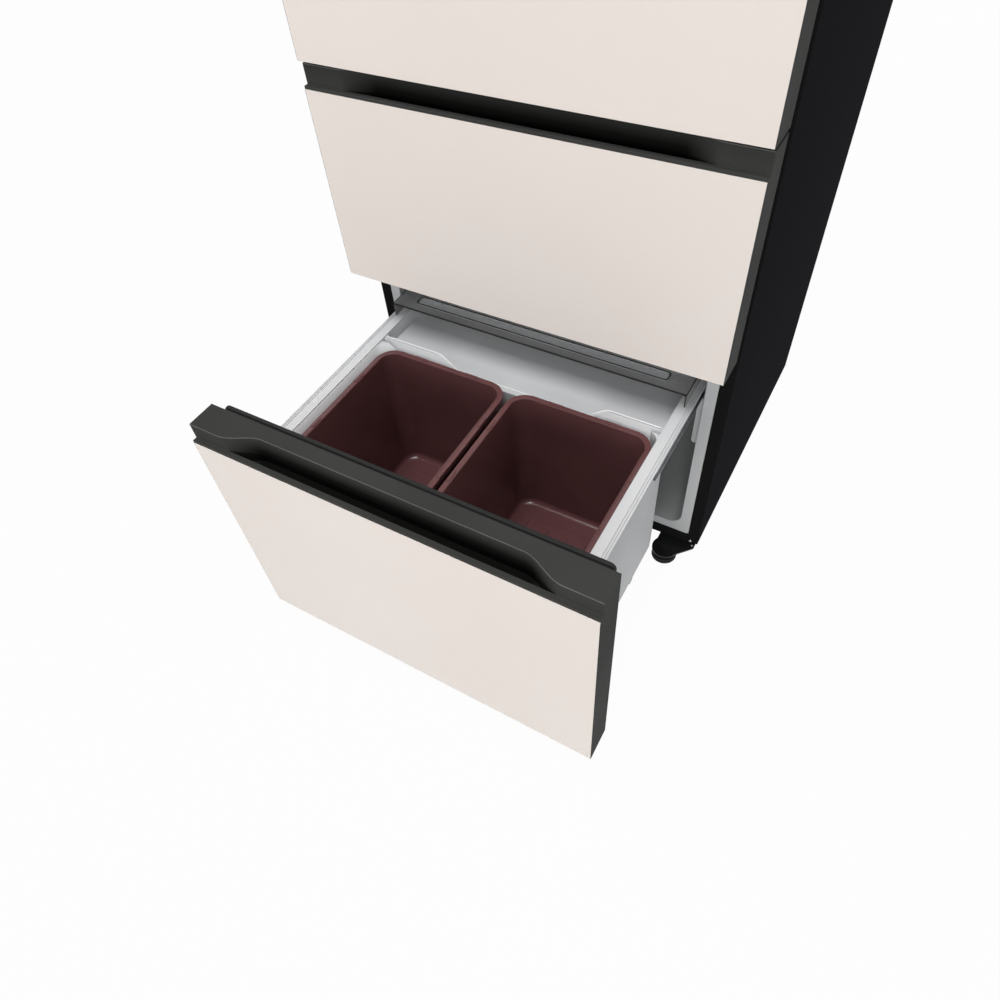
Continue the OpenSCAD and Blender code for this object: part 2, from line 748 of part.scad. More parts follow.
// Closed ring of soft seal on a front's back
module gasket(half, z0, z1)
    along_y(front_t, cab_front - fit) difference() {
        soft_rect([-half, z0], [half, z1], 3);
        soft_rect([-half + gasket_w, z0 + gasket_w], [half - gasket_w, z1 - gasket_w], 2);
    }

// ---- Tubs and containers -------------------------------------------------------------------

module rim(z) {
    difference() {
        slab(-rim_half, rim_half, rim_y, tub_back + rim_front, z - rim_t, z);
        translate([0, 0, z - rim_t - 1]) linear_extrude(rim_t + 2)
            soft_rect([-well_half, rim_y + rim_front], [well_half, tub_back], tray_r);
        // grooves that run along both sides of the rim
        both_sides() for (x = [rim_half - 4, rim_half - 8])
            slab(x, x + 1, rim_y - 1, tub_back + rim_front + 1, z - 1, z + 1);
    }
}

// Upper edge of the ridge between well and tray, at a distance x from its middle: as low as the
// tray there and near the rim's height at both ends
function ridge_z(x) = let (t = min(max((abs(x) - ridge_low)/(ridge_high - ridge_low), 0), 1))
    -tray_h + (tray_h - 1)*(1 - cos(180*t))/2;

function ridge_line(half, z) = let (n = 10, span = ridge_high - ridge_low) concat(
    [for (i = [n:-1:0]) let (x = ridge_low + span*i/n) [ridge_shift - x, z + ridge_z(x)]],
    [for (i = [0:n]) let (x = ridge_low + span*i/n) [ridge_shift + x, z + ridge_z(x)]],
    [[half, z - 1], [half, z + 1], [-half, z + 1], [-half, z - 1]]);

// Lower tub: deep well in front of the machine room, shallow tray behind it, raised corners between
module lower_tub() {
    z = rim_z(lower_top);
    z0 = z - lower_tub_h;
    y0 = rim_y + rim_front;
    wall = ridge_d;
    out_half = well_half + tub_t;
    rim(z);
    difference() {
        union() {
            soft_box([-out_half, y0 - tub_t, z0], [out_half, well_y + tub_t, z - rim_t + eps],
                well_r + tub_t);
            translate([0, 0, z - tray_h - tub_t]) linear_extrude(tray_h + tub_t - rim_t + eps)
                soft_rect([-out_half, y0 - tub_t], [out_half, tub_back + tub_t], tray_r + tub_t);
        }
        soft_box([-well_half, y0, z0 + tub_t], [well_half, well_y, z + 1], well_r);
        translate([0, 0, z - tray_h]) linear_extrude(tray_h + 1)
            soft_rect([-well_half, well_y + wall], [well_half, tub_back], tray_r);
        along_y(well_y - 1, well_y + wall + 1) polygon(ridge_line(well_half - 4, z));
        // the ridge slopes down towards the well
        along_x(-well_half, well_half) polygon([[well_y - 1, z + 1], [well_y - 1, z - tray_h],
            [well_y + wall - 1, z - 0.5], [well_y + wall - 1, z + 1]]);
    }
}

module middle_tub() {
    z = rim_z(middle_top);
    y0 = rim_y + rim_front;
    rim(z);
    difference() {
        soft_box([-well_half - tub_t, y0 - tub_t, z - middle_tub_h],
            [well_half + tub_t, tub_back + tub_t, z - rim_t + eps], well_r + tub_t);
        soft_box([-well_half, y0, z - middle_tub_h + tub_t], [well_half, tub_back, z + 1], well_r);
    }
}

// Rounded box from a to b with the upright corners of a container, inset by t; its bottom edges
// have the radius edge, or that of the corners where edge isn't given
module container_body(a, b, t, edge) {
    if (is_undef(edge)) soft_box(a, b, box_r - t);
    else soft_pan(a, b, box_r - t, edge - t);
}

// Container with a folded rim; w and d over the rim, from the origin upwards
module container(w, d, h, edge) {
    body = [w/2 - box_rim, d/2 - box_rim];
    difference() {
        union() {
            container_body([-body.x, -body.y, 0], [body.x, body.y, h], 0, edge);
            translate([0, 0, h - box_t]) linear_extrude(box_t)
                soft_rect([-w/2, -d/2], [w/2, d/2], box_r + box_rim);
            translate([0, 0, h - box_fold]) linear_extrude(box_fold) difference() {
                soft_rect([-w/2, -d/2], [w/2, d/2], box_r + box_rim);
                soft_rect([box_t - w/2, box_t - d/2], [w/2 - box_t, d/2 - box_t], box_r + box_rim - box_t);
            }
        }
        container_body([box_t - body.x, box_t - body.y, box_t],
            [body.x - box_t, body.y - box_t, h + 1], box_t, edge);
    }
}

module lower_container(side)
    translate([side*(box_x + box_w/2) + box_shift, rim_y + rim_front + box_gap + lower_box_d/2,
               rim_z(lower_top) - lower_tub_h + tub_t + fit])
        container(box_w, lower_box_d, lower_tub_h - tub_t - fit - box_drop, box_edge);

module middle_container_set()
    for (y = [rim_y + rim_front + box_gap + middle_box_d/2, tub_back - box_gap - middle_box_d/2])
        both_sides()
            translate([box_x + box_w/2, y, rim_z(middle_top) - middle_tub_h + tub_t])
                container(box_w, middle_box_d, middle_tub_h - tub_t - box_drop);

// ---- Upper door ----------------------------------------------------------------------------

module hinge_bore(z)
    translate([hinge_x, hinge_back, z]) cylinder(h = 40, r = hinge_pin_r + bore_gap);

// Frame of the door with the bushes of its hinge pins and the grip pocket in its lower edge
module door_frame() {
    z0 = upper_bottom;
    z1 = upper_top;
    difference() {
        union() {
            front_frame(z0, z1);
            slab(-front_half, front_half, panel_t, front_t, z1 - trim_t, z1);
            slab(-front_half, front_half, front_t - trim_t, front_t, z0, z0 + 14);
            slab(-front_half, front_half, front_t - trim_t, front_t, z1 - 14, z1);
            for (z = [z0, z1 - 24])
                translate([hinge_x, hinge_back, z]) cylinder(h = 24, r = hinge_pin_r + 4);
            door_pocket(trim_t);
        }
        door_pocket(0);
        hinge_bore(z0 - 20);
        hinge_bore(z1 - 20);
    }
}

// Finger pocket in the door's lower edge, near its opening side
module door_pocket(grow)
    slab(-front_half + 30 - grow, -front_half + 230 + grow, panel_t + 5 - grow, panel_t + 33 + grow,
         upper_bottom - (grow > 0 ? 0 : 1), upper_bottom + 34 + grow);

module door_foam()
    difference() {
        slab(-front_half + trim_t, front_half - trim_t, panel_t + trim_t, front_t - trim_t,
             upper_bottom + trim_t, upper_top - trim_t);
        door_pocket(trim_t);
        for (z = [upper_bottom, upper_top - 24])
            translate([hinge_x, hinge_back, z]) cylinder(h = 24, r = hinge_pin_r + 4);
    }

// Inner panel of the door with two upright ridges that carry the bins
module door_inner_panel() {
    z0 = upper_z0 + 12;
    z1 = upper_z1 - 12;
    difference() {
        union() {
            slab(-front_half + 14 + fit, front_half - 14 - fit, front_t - trim_t, front_t,
                 upper_bottom + 14 + fit, upper_top - 14 - fit);
            both_sides()
                slab(inner_half - 20, inner_half - 8, front_t - eps, front_t + bin_d + 4, z0, z1);
        }
        both_sides()
            slab(inner_half - 18, inner_half - 10, front_t - trim_t - 1, front_t + bin_d + 2,
                 z0 + 2, z1 - 2);
    }
    both_sides() for (i = [0:bins - 1])
        slab(inner_half - 26, inner_half - 20 + eps, front_t, front_t + bin_d, bin_z(i) - 6, bin_z(i));
}

function bin_z(i) = upper_z0 + 60 + bin_pitch*i;

// Clear bins that rest on the ridges' ledges
module bin_set() {
    half = inner_half - 20 - fit;
    for (i = [0:bins - 1])
        difference() {
            slab(-half, half, front_t + fit, front_t + bin_d, bin_z(i), bin_z(i) + bin_h);
            slab(-half + trim_t, half - trim_t, front_t + fit + trim_t, front_t + bin_d - trim_t,
                 bin_z(i) + trim_t, bin_z(i) + bin_h + 1);
        }
}

// ---- Hinges, feet and rollers --------------------------------------------------------------

// Plates that reach forward over and under the door, each with a fixed pin
module hinge_pair() {
    // top hinge, on the top panel
    slab(hinge_x - 22, hinge_x + 14, hinge_back, cab_front + 70, cab_h, cab_h + hinge_t);
    translate([hinge_x, hinge_back, cab_h]) cylinder(h = hinge_t, r = 14);
    translate([hinge_x, hinge_back, upper_top - 16])
        cylinder(h = cab_h + hinge_t - upper_top + 16, r = hinge_pin_r);
    // lower hinge, on the mullion bar between door and middle drawer
    z = upper_line - hinge_t/2;
    slab(hinge_x - 22, hinge_x + 14, hinge_back, cab_front - fit, z, z + hinge_t);
    translate([hinge_x, hinge_back, z]) cylinder(h = hinge_t, r = 14);
    translate([hinge_x, hinge_back, z]) cylinder(h = upper_bottom + 16 - z, r = hinge_pin_r);
    difference() {
        slab(hinge_x - 60, hinge_x + 14, cab_front - 2, cab_front, upper_line - 9, upper_line + 9);
        for (x = [hinge_x - 48, hinge_x - 32])
            translate([x, cab_front - 3, upper_line]) rotate([-90, 0, 0]) cylinder(h = 4, r = 2.2);
    }
}

module top_hinge_cover() {
    x0 = hinge_x - 40;
    x1 = hinge_x + 18;
    y1 = cab_front + 96;
    difference() {
        along_x(x0, x1) polygon([[hinge_back - 18, cab_h], [hinge_back - 18, cab_h + 9],
            [hinge_back - 8, cab_h + 15], [y1 - 12, cab_h + 15], [y1, cab_h + 8], [y1, cab_h]]);
        slab(x0 + trim_t, x1 - trim_t, hinge_back - 18 + trim_t, y1 - trim_t, cab_h - 1, cab_h + 6.5);
    }
}

// Bracket under the cabinet's front corner, round at its free end, with a threaded eye
module foot_bracket() {
    spacer_y = cab_front + rail_foot + fit;
    difference() {
        union() {
            translate([0, 0, foot_plate_z - foot_plate_t]) linear_extrude(foot_plate_t) {
                translate([foot_x, foot_y]) circle(foot_r + 1);
                polygon([[foot_x - 22, foot_y + 14], [foot_x - 10, foot_y - 24], [foot_x + 10, foot_y - 24],
                    [half_cab - 4, cab_front - 8], [half_cab - 4, spacer_y + 26],
                    [foot_x - 22, spacer_y + 26]]);
            }
            slab(foot_x - 22, half_cab - 4, spacer_y, spacer_y + 26, foot_plate_z - eps, cab_bottom);
        }
        translate([foot_x, foot_y, 0]) cylinder(h = cab_bottom, r = stud_r + bore_gap);
        for (x = [foot_x, foot_x + 36])
            translate([x, spacer_y + 13, 0]) cylinder(h = cab_bottom + 1, r = 2.5);
    }
}

// Levelling foot: stepped disc, stud and a screwdriver slot in the stud's end
module front_foot()
    difference() {
        translate([foot_x, foot_y, 0]) {
            cylinder(h = 4, r = foot_r);
            cylinder(h = foot_h - 1.5, r = foot_r - 1.5);
            cylinder(h = foot_h, r = foot_r - 3);
            cylinder(h = foot_plate_z, r = stud_r);
        }
        slab(foot_x - stud_r - 1, foot_x + stud_r + 1, foot_y - 0.8, foot_y + 0.8,
             foot_plate_z - 2, foot_plate_z + 1);
    }

module rear_roller()
    translate([roller_x() - roller_w/2, roller_y(), roller_r]) rotate([0, 90, 0]) difference() {
        cylinder(h = roller_w, r = roller_r);
        translate([0, 0, -1]) cylinder(h = roller_w + 2, r = axle_r + bore_gap);
    }

// ---- Machine room --------------------------------------------------------------------------

can_x = half_cab - 177.5;
can_plate = [can_r + 22, can_r - 16]; // half width and half depth of the can's foot plate
can_y = room_y + can_r + 22;
can_z = cab_bottom + sheet + 22;

// Hermetic can on a foot plate, with rubber feet, terminal box and three tube stubs
module compressor_unit() {
    plate_z = can_z - 10;
    translate([can_x, can_y, can_z]) rotate_extrude() polygon([[0, 0], [can_r*0.6, 0],
        [can_r, 22], [can_r, can_h - 40], [can_r*0.8, can_h - 12], [can_r*0.4, can_h], [0, can_h]]);
    difference() {
        translate([can_x - can_plate.x, can_y - can_plate.y, plate_z])
            cube([2*can_plate.x, 2*can_plate.y, 3]);
        for (x = [-1, 1]*(can_plate.x - 14), y = [-1, 1]*(can_plate.y - 14))
            translate([can_x + x, can_y + y, plate_z - 1]) cylinder(h = 5, r = 6);
    }
    translate([can_x, can_y, plate_z + 3 - eps]) cylinder(h = 8, r = can_r*0.5);
    for (x = [-1, 1]*(can_plate.x - 14), y = [-1, 1]*(can_plate.y - 14))
        translate([can_x + x, can_y + y, cab_bottom + sheet]) {
            cylinder(h = plate_z - cab_bottom - sheet, r = 11);
            cylinder(h = plate_z - cab_bottom - sheet + 8, r = 6);
        }
    slab(can_x + can_r - 6, can_x + can_r + 30, can_y - 28, can_y + 28, can_z + 40, can_z + 95);
    translate([stub_x(), can_y, can_z + 60]) rotate([0, 90, 0]) cylinder(h = 40, r = tube_r);
}

function stub_x() = can_x - can_r - 25;

condenser_w = half_cab - 197.5;
condenser_d = 60;
condenser_h = 150;
condenser_x = -half_cab + 35 + condenser_w/2;
condenser_z = cab_bottom + sheet + 18;
condenser_mid = condenser_z + 10 + condenser_h/2;
blower_r = 68;

// Finned coil between two tube sheets that stand on the base, with the fan's bracket behind it
module condenser_unit() {
    side = condenser_w/2 + 4;
    coil_y = room_y + 60;
    mount_y = coil_y + condenser_d + 50;
    top_z = condenser_z + condenser_h + 25;
    translate([condenser_x, coil_y, condenser_z + 10])
        fin_coil(condenser_w, condenser_d, condenser_h, condenser_fins, 5);
    translate([condenser_x, 0, 0]) {
        for (x = [-side - 2, side])
            slab(x, x + 2, coil_y - 14, mount_y, cab_bottom + sheet, top_z);
        slab(-side - 2, side + 2, coil_y - 14, mount_y, top_z - 2, top_z);
        slab(-side - 2, side + 2, mount_y - 2, mount_y, condenser_mid - 10, condenser_mid + 10);
        translate([0, mount_y - 16, condenser_mid]) rotate([-90, 0, 0]) cylinder(h = 15, r = 3);
    }
}

module cooling_fan()
    translate([condenser_x, room_y + condenser_d + 84, condenser_mid]) rotate([-90, 0, 0])
        fan(blower_r, 20, 5);

// Shallow evaporation tray on four legs, low in front of the compressor
module pan() {
    y0 = room_y + 20;
    z0 = cab_bottom + sheet;
    difference() {
        slab(pan_x0, pan_x1, y0, y0 + pan_d, z0, z0 + pan_h);
        slab(pan_x0 + 2, pan_x1 - 2, y0 + 2, y0 + pan_d - 2, z0 + 8, z0 + pan_h + 1);
    }
}

pan_x0 = condenser_x + condenser_w/2 + 52.5;
pan_x1 = can_x - can_plate.x - 10;
pan_d = 170;
pan_h = 42;

// Line from the compressor's stub to the ceiling of the machine room, with the drier in it
module pipes() {
    y1 = room_y + 30;
    z0 = can_z + 60;
    z1 = room_top - 12;
    x0 = pan_x0 + 50;
    run = [[stub_x(), can_y, z0], [x0, can_y, z0], [x0, y1, z0], [x0, y1, z1],
        [can_x + 70, y1, z1], [can_x + 70, y1, room_top]];
    for (i = [0:4]) bar(run[i], run[i + 1], tube_r - 1);
    for (i = [1:4]) translate(run[i]) sphere(tube_r - 1);
    translate([x0 + 60, y1, z1]) rotate([0, 90, 0]) cylinder(h = 90, r = 11);
}

// Rear cover with louvres, and the power inlet in its corner
module rear_cover() {
    half = half_cab - side_fold;
    z0 = cab_bottom + sheet;
    z1 = room_top;
    inlet_x = -half + 60;
    louvre_x = -half + 130;
    louvre_w = half - 95.5;
    difference() {
        slab(-half, half, cab_back - sheet, cab_back, z0, z1);
        for (x = [louvre_x, louvre_x + louvre_w + 5.5], i = [0:louvres - 1])
            slab(x, x + louvre_w, cab_back - 5, cab_back + 5, z0 + 60 + 20*i, z0 + 67 + 20*i);
        slab(inlet_x - 14, inlet_x + 14, cab_back - 5, cab_back + 5, z1 - 60, z1 - 38);
    }
    // inlet body with its three-pin socket left as a plain recess
    difference() {
        slab(inlet_x - 14, inlet_x + 14, cab_back - 26, cab_back, z1 - 60, z1 - 38);
        slab(inlet_x - 11, inlet_x + 11, cab_back - 18, cab_back + 1, z1 - 57, z1 - 41);
    }
}

// Steel box for the control board, open upwards against the machine room's ceiling
module board_box() {
    x0 = pan_x0 + 10;
    x1 = pan_x1 + 20;
    board_h = 80;
    difference() {
        slab(x0, x1, room_y + 56, cab_back - 28, room_top - board_h, room_top);
        slab(x0 + 1.5, x1 - 1.5, room_y + 57.5, cab_back - 29.5, room_top - board_h + 1.5, room_top + 1);
    }
}

// ---- Nodes ---------------------------------------------------------------------------------

steel_black = [0.11, 0.11, 0.12];
charcoal = [0.2, 0.2, 0.2];
beige = [0.9, 0.86, 0.83];
liner_grey = [0.68, 0.69, 0.69];
tub_grey = [0.84, 0.85, 0.86];
plum = [0.29, 0.16, 0.18];
smoke = [0.45, 0.44, 0.43, 0.5];
foam_cream = [0.9, 0.85, 0.66];
zinc = [0.6, 0.61, 0.62];
rubber = [0.07, 0.07, 0.07];
copper = [0.72, 0.45, 0.3];
clear = [0.85, 0.9, 0.92, 0.4];

module side_panel_right() color(steel_black) place() side_panel();
module side_panel_left() color(steel_black) place() mirror([1, 0, 0]) side_panel();
module top_panel() color(steel_black) place() roof();
module rear_panel() color(zinc) place() back_sheet();
module base_pan() color(zinc) place() stepped_base();
module front_rails() color(steel_black) place() rails_across_front();
module insulation_foam() color(foam_cream) place() cabinet_foam();
module upper_liner() color(liner_grey) place() upper_shell();
module middle_liner() color(liner_grey) place() middle_shell();
module lower_liner() color(liner_grey) place() lower_shell();
module shelves() color(clear) place() shelf_set();
module evaporator_cover() color(liner_grey) place() duct_panel();
module evaporator() color(zinc) place() evaporator_coil();
module evaporator_fan() color(rubber) place() duct_fan();
module cooling_plates() color(zinc) place() cold_plates();
module cover_plates() color(smoke) place() {
    cover_plate(lower_top);
    cover_plate(middle_top);
}
module slide_outer_members() color(zinc) place() outer_members();
module machine_room_cover() color(steel_black) place() rear_cover();
module compressor() color(steel_black) place() compressor_unit();
module condenser() color(copper) place() condenser_unit();
module condenser_fan() color(rubber) place() cooling_fan();
module drain_pan() color(charcoal) place() pan();
module refrigerant_pipes() color(copper) place() pipes();
module control_board_box() color(zinc) place() board_box();
module interior_lamp() color("white") place()
    slab(-lamp_half, lamp_half, cab_front + 130, cab_front + 165, upper_z1 - 9, upper_z1);
module touch_display() color(charcoal) place()
    slab(-display_half, display_half, cab_front + 20, cab_front + 62, upper_z1 - 12, upper_z1);
module door_hinges() color(zinc) place() hinge_pair();
module hinge_cover() color(steel_black) place() top_hinge_cover();
module foot_brackets() color(steel_black) place() both_sides() foot_bracket();
module front_foot_right() color(rubber) place() front_foot();
module front_foot_left() color(rubber) place() mirror([1, 0, 0]) front_foot();
module rear_roller_right() color(rubber) place() rear_roller();
module rear_roller_left() color(rubber) place() mirror([1, 0, 0]) rear_roller();

module upper_door_panel() color(beige) place() front_panel(upper_bottom, upper_top);
module upper_door_frame() color(charcoal) place() door_frame();
module upper_door_foam() color(foam_cream) place() door_foam();
module upper_door_inner_panel() color(tub_grey) place() door_inner_panel();
module upper_door_gasket() color(rubber) place()
    gasket(inner_half + gasket_out, upper_z0 - gasket_out, upper_z1 + gasket_out);
module door_bins() color(clear) place() bin_set();

module lower_drawer_panel() color(beige) place(lower_open) front_panel(front_bottom, lower_top - grip_h);
module lower_drawer_frame() color(charcoal) place(lower_open) front_frame(front_bottom, lower_top - grip_h);
module lower_drawer_grip() color(charcoal) place(lower_open) grip(lower_top);
module lower_drawer_foam() color(foam_cream) place(lower_open) drawer_foam(front_bottom, lower_top);
module lower_drawer_inner_panel() color(tub_grey) place(lower_open)
    drawer_inner_panel(front_bottom, lower_top);
module lower_drawer_gasket() color(rubber) place(lower_open)
    gasket(inner_half + drawer_gasket_out, lower_z0 - drawer_gasket_out, lower_top - gasket_in);
module lower_drawer_tub() color(tub_grey) place(lower_open) lower_tub();
module lower_drawer_rails() color(tub_grey) place(lower_open)
    drawer_rails(lower_top, lower_tub_h, well_y - 4);
module lower_slide_middle_members() color(zinc) place(lower_open/2) middle_members(lower_top);
module lower_container_right() color(plum) place(lower_open) lower_container(1);
module lower_container_left() color(plum) place(lower_open) lower_container(-1);

module middle_drawer_panel() color(beige) place() front_panel(middle_bottom, middle_top - grip_h);
module middle_drawer_frame() color(charcoal) place() front_frame(middle_bottom, middle_top - grip_h);
module middle_drawer_grip() color(charcoal) place() grip(middle_top);
module middle_drawer_foam() color(foam_cream) place() drawer_foam(middle_bottom, middle_top);
module middle_drawer_inner_panel() color(tub_grey) place() drawer_inner_panel(middle_bottom, middle_top);
module middle_drawer_gasket() color(rubber) place()
    gasket(inner_half + drawer_gasket_out, middle_z0 - drawer_gasket_out, middle_top - gasket_in);
module middle_drawer_tub() color(tub_grey) place() middle_tub();
module middle_drawer_rails() color(tub_grey) place()
    drawer_rails(middle_top, middle_tub_h, tub_back - 4);
module middle_slide_middle_members() color(zinc) place() middle_members(middle_top);
module middle_containers() color(plum) place() middle_container_set();

side_panel_left();
side_panel_right();
top_panel();
rear_panel();
base_pan();
front_rails();
insulation_foam();
upper_liner();
middle_liner();
lower_liner();
shelves();
evaporator_cover();
evaporator();
evaporator_fan();
cooling_plates();
cover_plates();
slide_outer_members();
machine_room_cover();
compressor();
condenser();
condenser_fan();
drain_pan();
refrigerant_pipes();
control_board_box();
interior_lamp();
touch_display();
door_hinges();
hinge_cover();
foot_brackets();
front_foot_left();
front_foot_right();
rear_roller_left();
rear_roller_right();
upper_door_panel();
upper_door_frame();
upper_door_foam();
upper_door_inner_panel();
upper_door_gasket();
door_bins();
lower_drawer_panel();
lower_drawer_frame();
lower_drawer_grip();
lower_drawer_foam();
lower_drawer_inner_panel();
lower_drawer_gasket();
lower_drawer_tub();
lower_drawer_rails();
lower_slide_middle_members();
lower_container_left();
lower_container_right();
middle_drawer_panel();
middle_drawer_frame();
middle_drawer_grip();
middle_drawer_foam();
middle_drawer_inner_panel();
middle_drawer_gasket();
middle_drawer_tub();
middle_drawer_rails();
middle_slide_middle_members();
middle_containers();
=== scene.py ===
"""Kimchi refrigerator: finishes, detail pieces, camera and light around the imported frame.

Sizes below are in millimetres: x from the middle, y from the shut fronts' face, z from the floor.
"""

import json
import math

import bmesh
import bpy
from mathutils import Matrix, Vector

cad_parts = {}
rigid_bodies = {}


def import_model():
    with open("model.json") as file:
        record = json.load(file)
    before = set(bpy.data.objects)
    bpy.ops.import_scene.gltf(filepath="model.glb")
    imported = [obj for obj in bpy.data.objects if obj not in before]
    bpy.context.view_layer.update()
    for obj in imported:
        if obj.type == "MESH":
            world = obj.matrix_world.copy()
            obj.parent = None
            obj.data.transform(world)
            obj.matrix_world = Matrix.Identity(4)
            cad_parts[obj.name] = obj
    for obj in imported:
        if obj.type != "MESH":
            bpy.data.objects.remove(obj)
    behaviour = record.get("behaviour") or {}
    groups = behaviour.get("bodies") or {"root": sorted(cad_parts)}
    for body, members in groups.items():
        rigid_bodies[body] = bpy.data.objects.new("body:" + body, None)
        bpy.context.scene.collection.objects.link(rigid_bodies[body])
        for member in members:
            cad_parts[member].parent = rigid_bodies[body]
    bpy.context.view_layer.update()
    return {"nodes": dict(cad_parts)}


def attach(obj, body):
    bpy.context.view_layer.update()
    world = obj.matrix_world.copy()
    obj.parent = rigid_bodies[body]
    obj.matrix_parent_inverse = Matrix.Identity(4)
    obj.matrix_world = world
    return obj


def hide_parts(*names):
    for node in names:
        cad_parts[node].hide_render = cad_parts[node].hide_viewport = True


for old in list(bpy.data.objects):
    bpy.data.objects.remove(old)
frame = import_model()

# ---- Sizes that repeat the frame's ---------------------------------------------------------

FACE = -126.15  # the shut fronts' face along y in the row frame
LOWER_OUT = 425.7  # the lower drawer stands open this far
LOWER_TOP, MIDDLE_TOP = 519, 875  # upper edges of the two drawers' grips
CAB_FRONT, CAB_TOP = 74, 1838
REAR_SHEET = 677  # outer face of the rear panel
LOWER_RIM = 427
RIDGE_CREST = 399.4  # the tub's ridge between well and tray
WELL_BACK = 388  # rear face of the tub's well
COVER_FRONT, COVER_BACK = 29, 545  # the smoked cover plates along y
INNER_HALF = 305  # from the middle to the liners' side walls
DUCT_Y = 584  # face of the evaporator cover
BLOWER_Z = 1575  # the evaporator fan's axle
CEILING, DISPLAY_FACE = 1790, 1778
SHELVES = (1137.9, 1355.25, 1572.6)
BINS = (980.5, 1255.5, 1530.5)
BIN_H = 95
HINGE_X, MULLION = 326, 878  # the door's axis and the middle of the bar under the door
FOOT_X, FOOT_Y, FOOT_R, BRACKET_TOP = 291, 43, 24.4, 24.5
ROLLER_X, ROLLER_Y, ROLLER_Z = 290.5, 640, 13
CAN_X, CAN_Y, CAN_Z = 170, 533, 52  # foot of the compressor's can
FAN_X, FAN_Y, FAN_Z = -237.5, 604.4, 133  # front of the condenser fan


def at(x, y, z, out=0.0):
    """A point given in mm, in the row frame in metres."""
    return Vector((x, y + FACE - out, z)) / 1000


# ---- Finishes ------------------------------------------------------------------------------


def rgb(r, g, b):
    """A colour as it is seen, 0 to 255, as the linear colour that a shader takes."""
    return tuple(
        c / 12.92 if c <= 0.04045 else ((c + 0.055) / 1.055) ** 2.4
        for c in (r / 255, g / 255, b / 255)
    ) + (1.0,)


class Finish:
    """A material whose colour, roughness and bump come from procedural textures."""

    def __init__(self, name, **fixed):
        self.material = bpy.data.materials.new(name)
        self.material.use_nodes = True
        self.tree = self.material.node_tree
        self.shader = self.tree.nodes["Principled BSDF"]
        self.place = self.node("ShaderNodeTexCoord").outputs["Object"]
        for socket, value in fixed.items():
            self.shader.inputs[socket.replace("_", " ")].default_value = value

    def node(self, kind, **settings):
        made = self.tree.nodes.new(kind)
        for name, value in settings.items():
            setattr(made, name, value)
        return made

    def feed(self, source, target):
        if isinstance(source, bpy.types.NodeSocket):
            self.tree.links.new(source, target)
        else:
            target.default_value = source

    def stretched(self, stretch):
        if stretch is None:
            return self.place
        mapping = self.node("ShaderNodeMapping")
        self.feed(self.place, mapping.inputs["Vector"])
        mapping.inputs["Scale"].default_value = stretch
        return mapping.outputs["Vector"]

    def noise(self, scale, detail=3.0, stretch=None):
        made = self.node("ShaderNodeTexNoise")
        self.feed(self.stretched(stretch), made.inputs["Vector"])
        made.inputs["Scale"].default_value = scale
        made.inputs["Detail"].default_value = detail
        return made.outputs["Fac"]

    def cells(self, scale, output="Distance", feature="F1", stretch=None):
        made = self.node("ShaderNodeTexVoronoi", feature=feature)
        self.feed(self.stretched(stretch), made.inputs["Vector"])
        made.inputs["Scale"].default_value = scale
        return made.outputs[output]

    def spread(self, value, low, high, to_low=0.0, to_high=1.0):
        made = self.node("ShaderNodeMapRange")
        self.feed(value, made.inputs["Value"])
        for socket, number in zip(("From Min", "From Max", "To Min", "To Max"), (low, high, to_low, to_high)):
            made.inputs[socket].default_value = number
        return made.outputs["Result"]

    def calc(self, operation, a, b=0.0):
        made = self.node("ShaderNodeMath", operation=operation)
        self.feed(a, made.inputs[0])
        self.feed(b, made.inputs[1])
        return made.outputs[0]

    def blend(self, share, a, b):
        made = self.node("ShaderNodeMix", data_type="RGBA")
        self.feed(share, made.inputs[0])
        self.feed(a, made.inputs[6])
        self.feed(b, made.inputs[7])
        return made.outputs[2]

    def along(self, axis):
        """The place along one axis, in metres."""
        split = self.node("ShaderNodeSeparateXYZ")
        self.feed(self.place, split.inputs[0])
        return split.outputs[axis]

    def soft_edges(self, radius):
        made = self.node("ShaderNodeBevel", samples=4)
        made.inputs["Radius"].default_value = radius
        return made.outputs["Normal"]

    def edge_mask(self, rounded):
        """1 along sharp edges, 0 on flat faces."""
        geometry = self.node("ShaderNodeNewGeometry")
        dot = self.node("ShaderNodeVectorMath", operation="DOT_PRODUCT")
        self.feed(rounded, dot.inputs[0])
        self.feed(geometry.outputs["Normal"], dot.inputs[1])
        return self.spread(dot.outputs["Value"], 0.995, 0.85)

    def bump(self, height, depth, normal=None):
        made = self.node("ShaderNodeBump")
        made.inputs["Distance"].default_value = depth
        self.feed(height, made.inputs["Height"])
        if normal is not None:
            self.feed(normal, made.inputs["Normal"])
        return made.outputs["Normal"]

    def set(self, socket, value):
        self.feed(value, self.shader.inputs[socket])

    def coming_in(self, socket):
        """What feeds one of the shader's sockets so far."""
        return self.shader.inputs[socket].links[0].from_socket


def plain(name, colour, other, rough, grain, depth, patch=6.0, edge=0.0008, wear=None,
          wear_share=0.35, **fixed):
    """A moulded or painted finish: mottled colour, uneven gloss, fine grain, soft and slightly worn edges."""
    f = Finish(name, **fixed)
    large, fine = f.noise(patch, 4.0), f.noise(grain, 2.0)
    tone = f.blend(f.spread(large, 0.3, 0.7), rgb(*colour), rgb(*other))
    rounded = f.soft_edges(edge)
    if wear:
        rubbed = f.calc("MULTIPLY", f.edge_mask(rounded), f.spread(f.noise(35.0), 0.35, 0.7, 0.2, wear_share))
        tone = f.blend(rubbed, tone, rgb(*wear))
    f.set("Base Color", tone)
    f.set("Roughness", f.spread(f.calc("ADD", large, fine), 0.6, 1.4, *rough))
    f.set("Normal", f.bump(fine, depth, rounded))
    return f


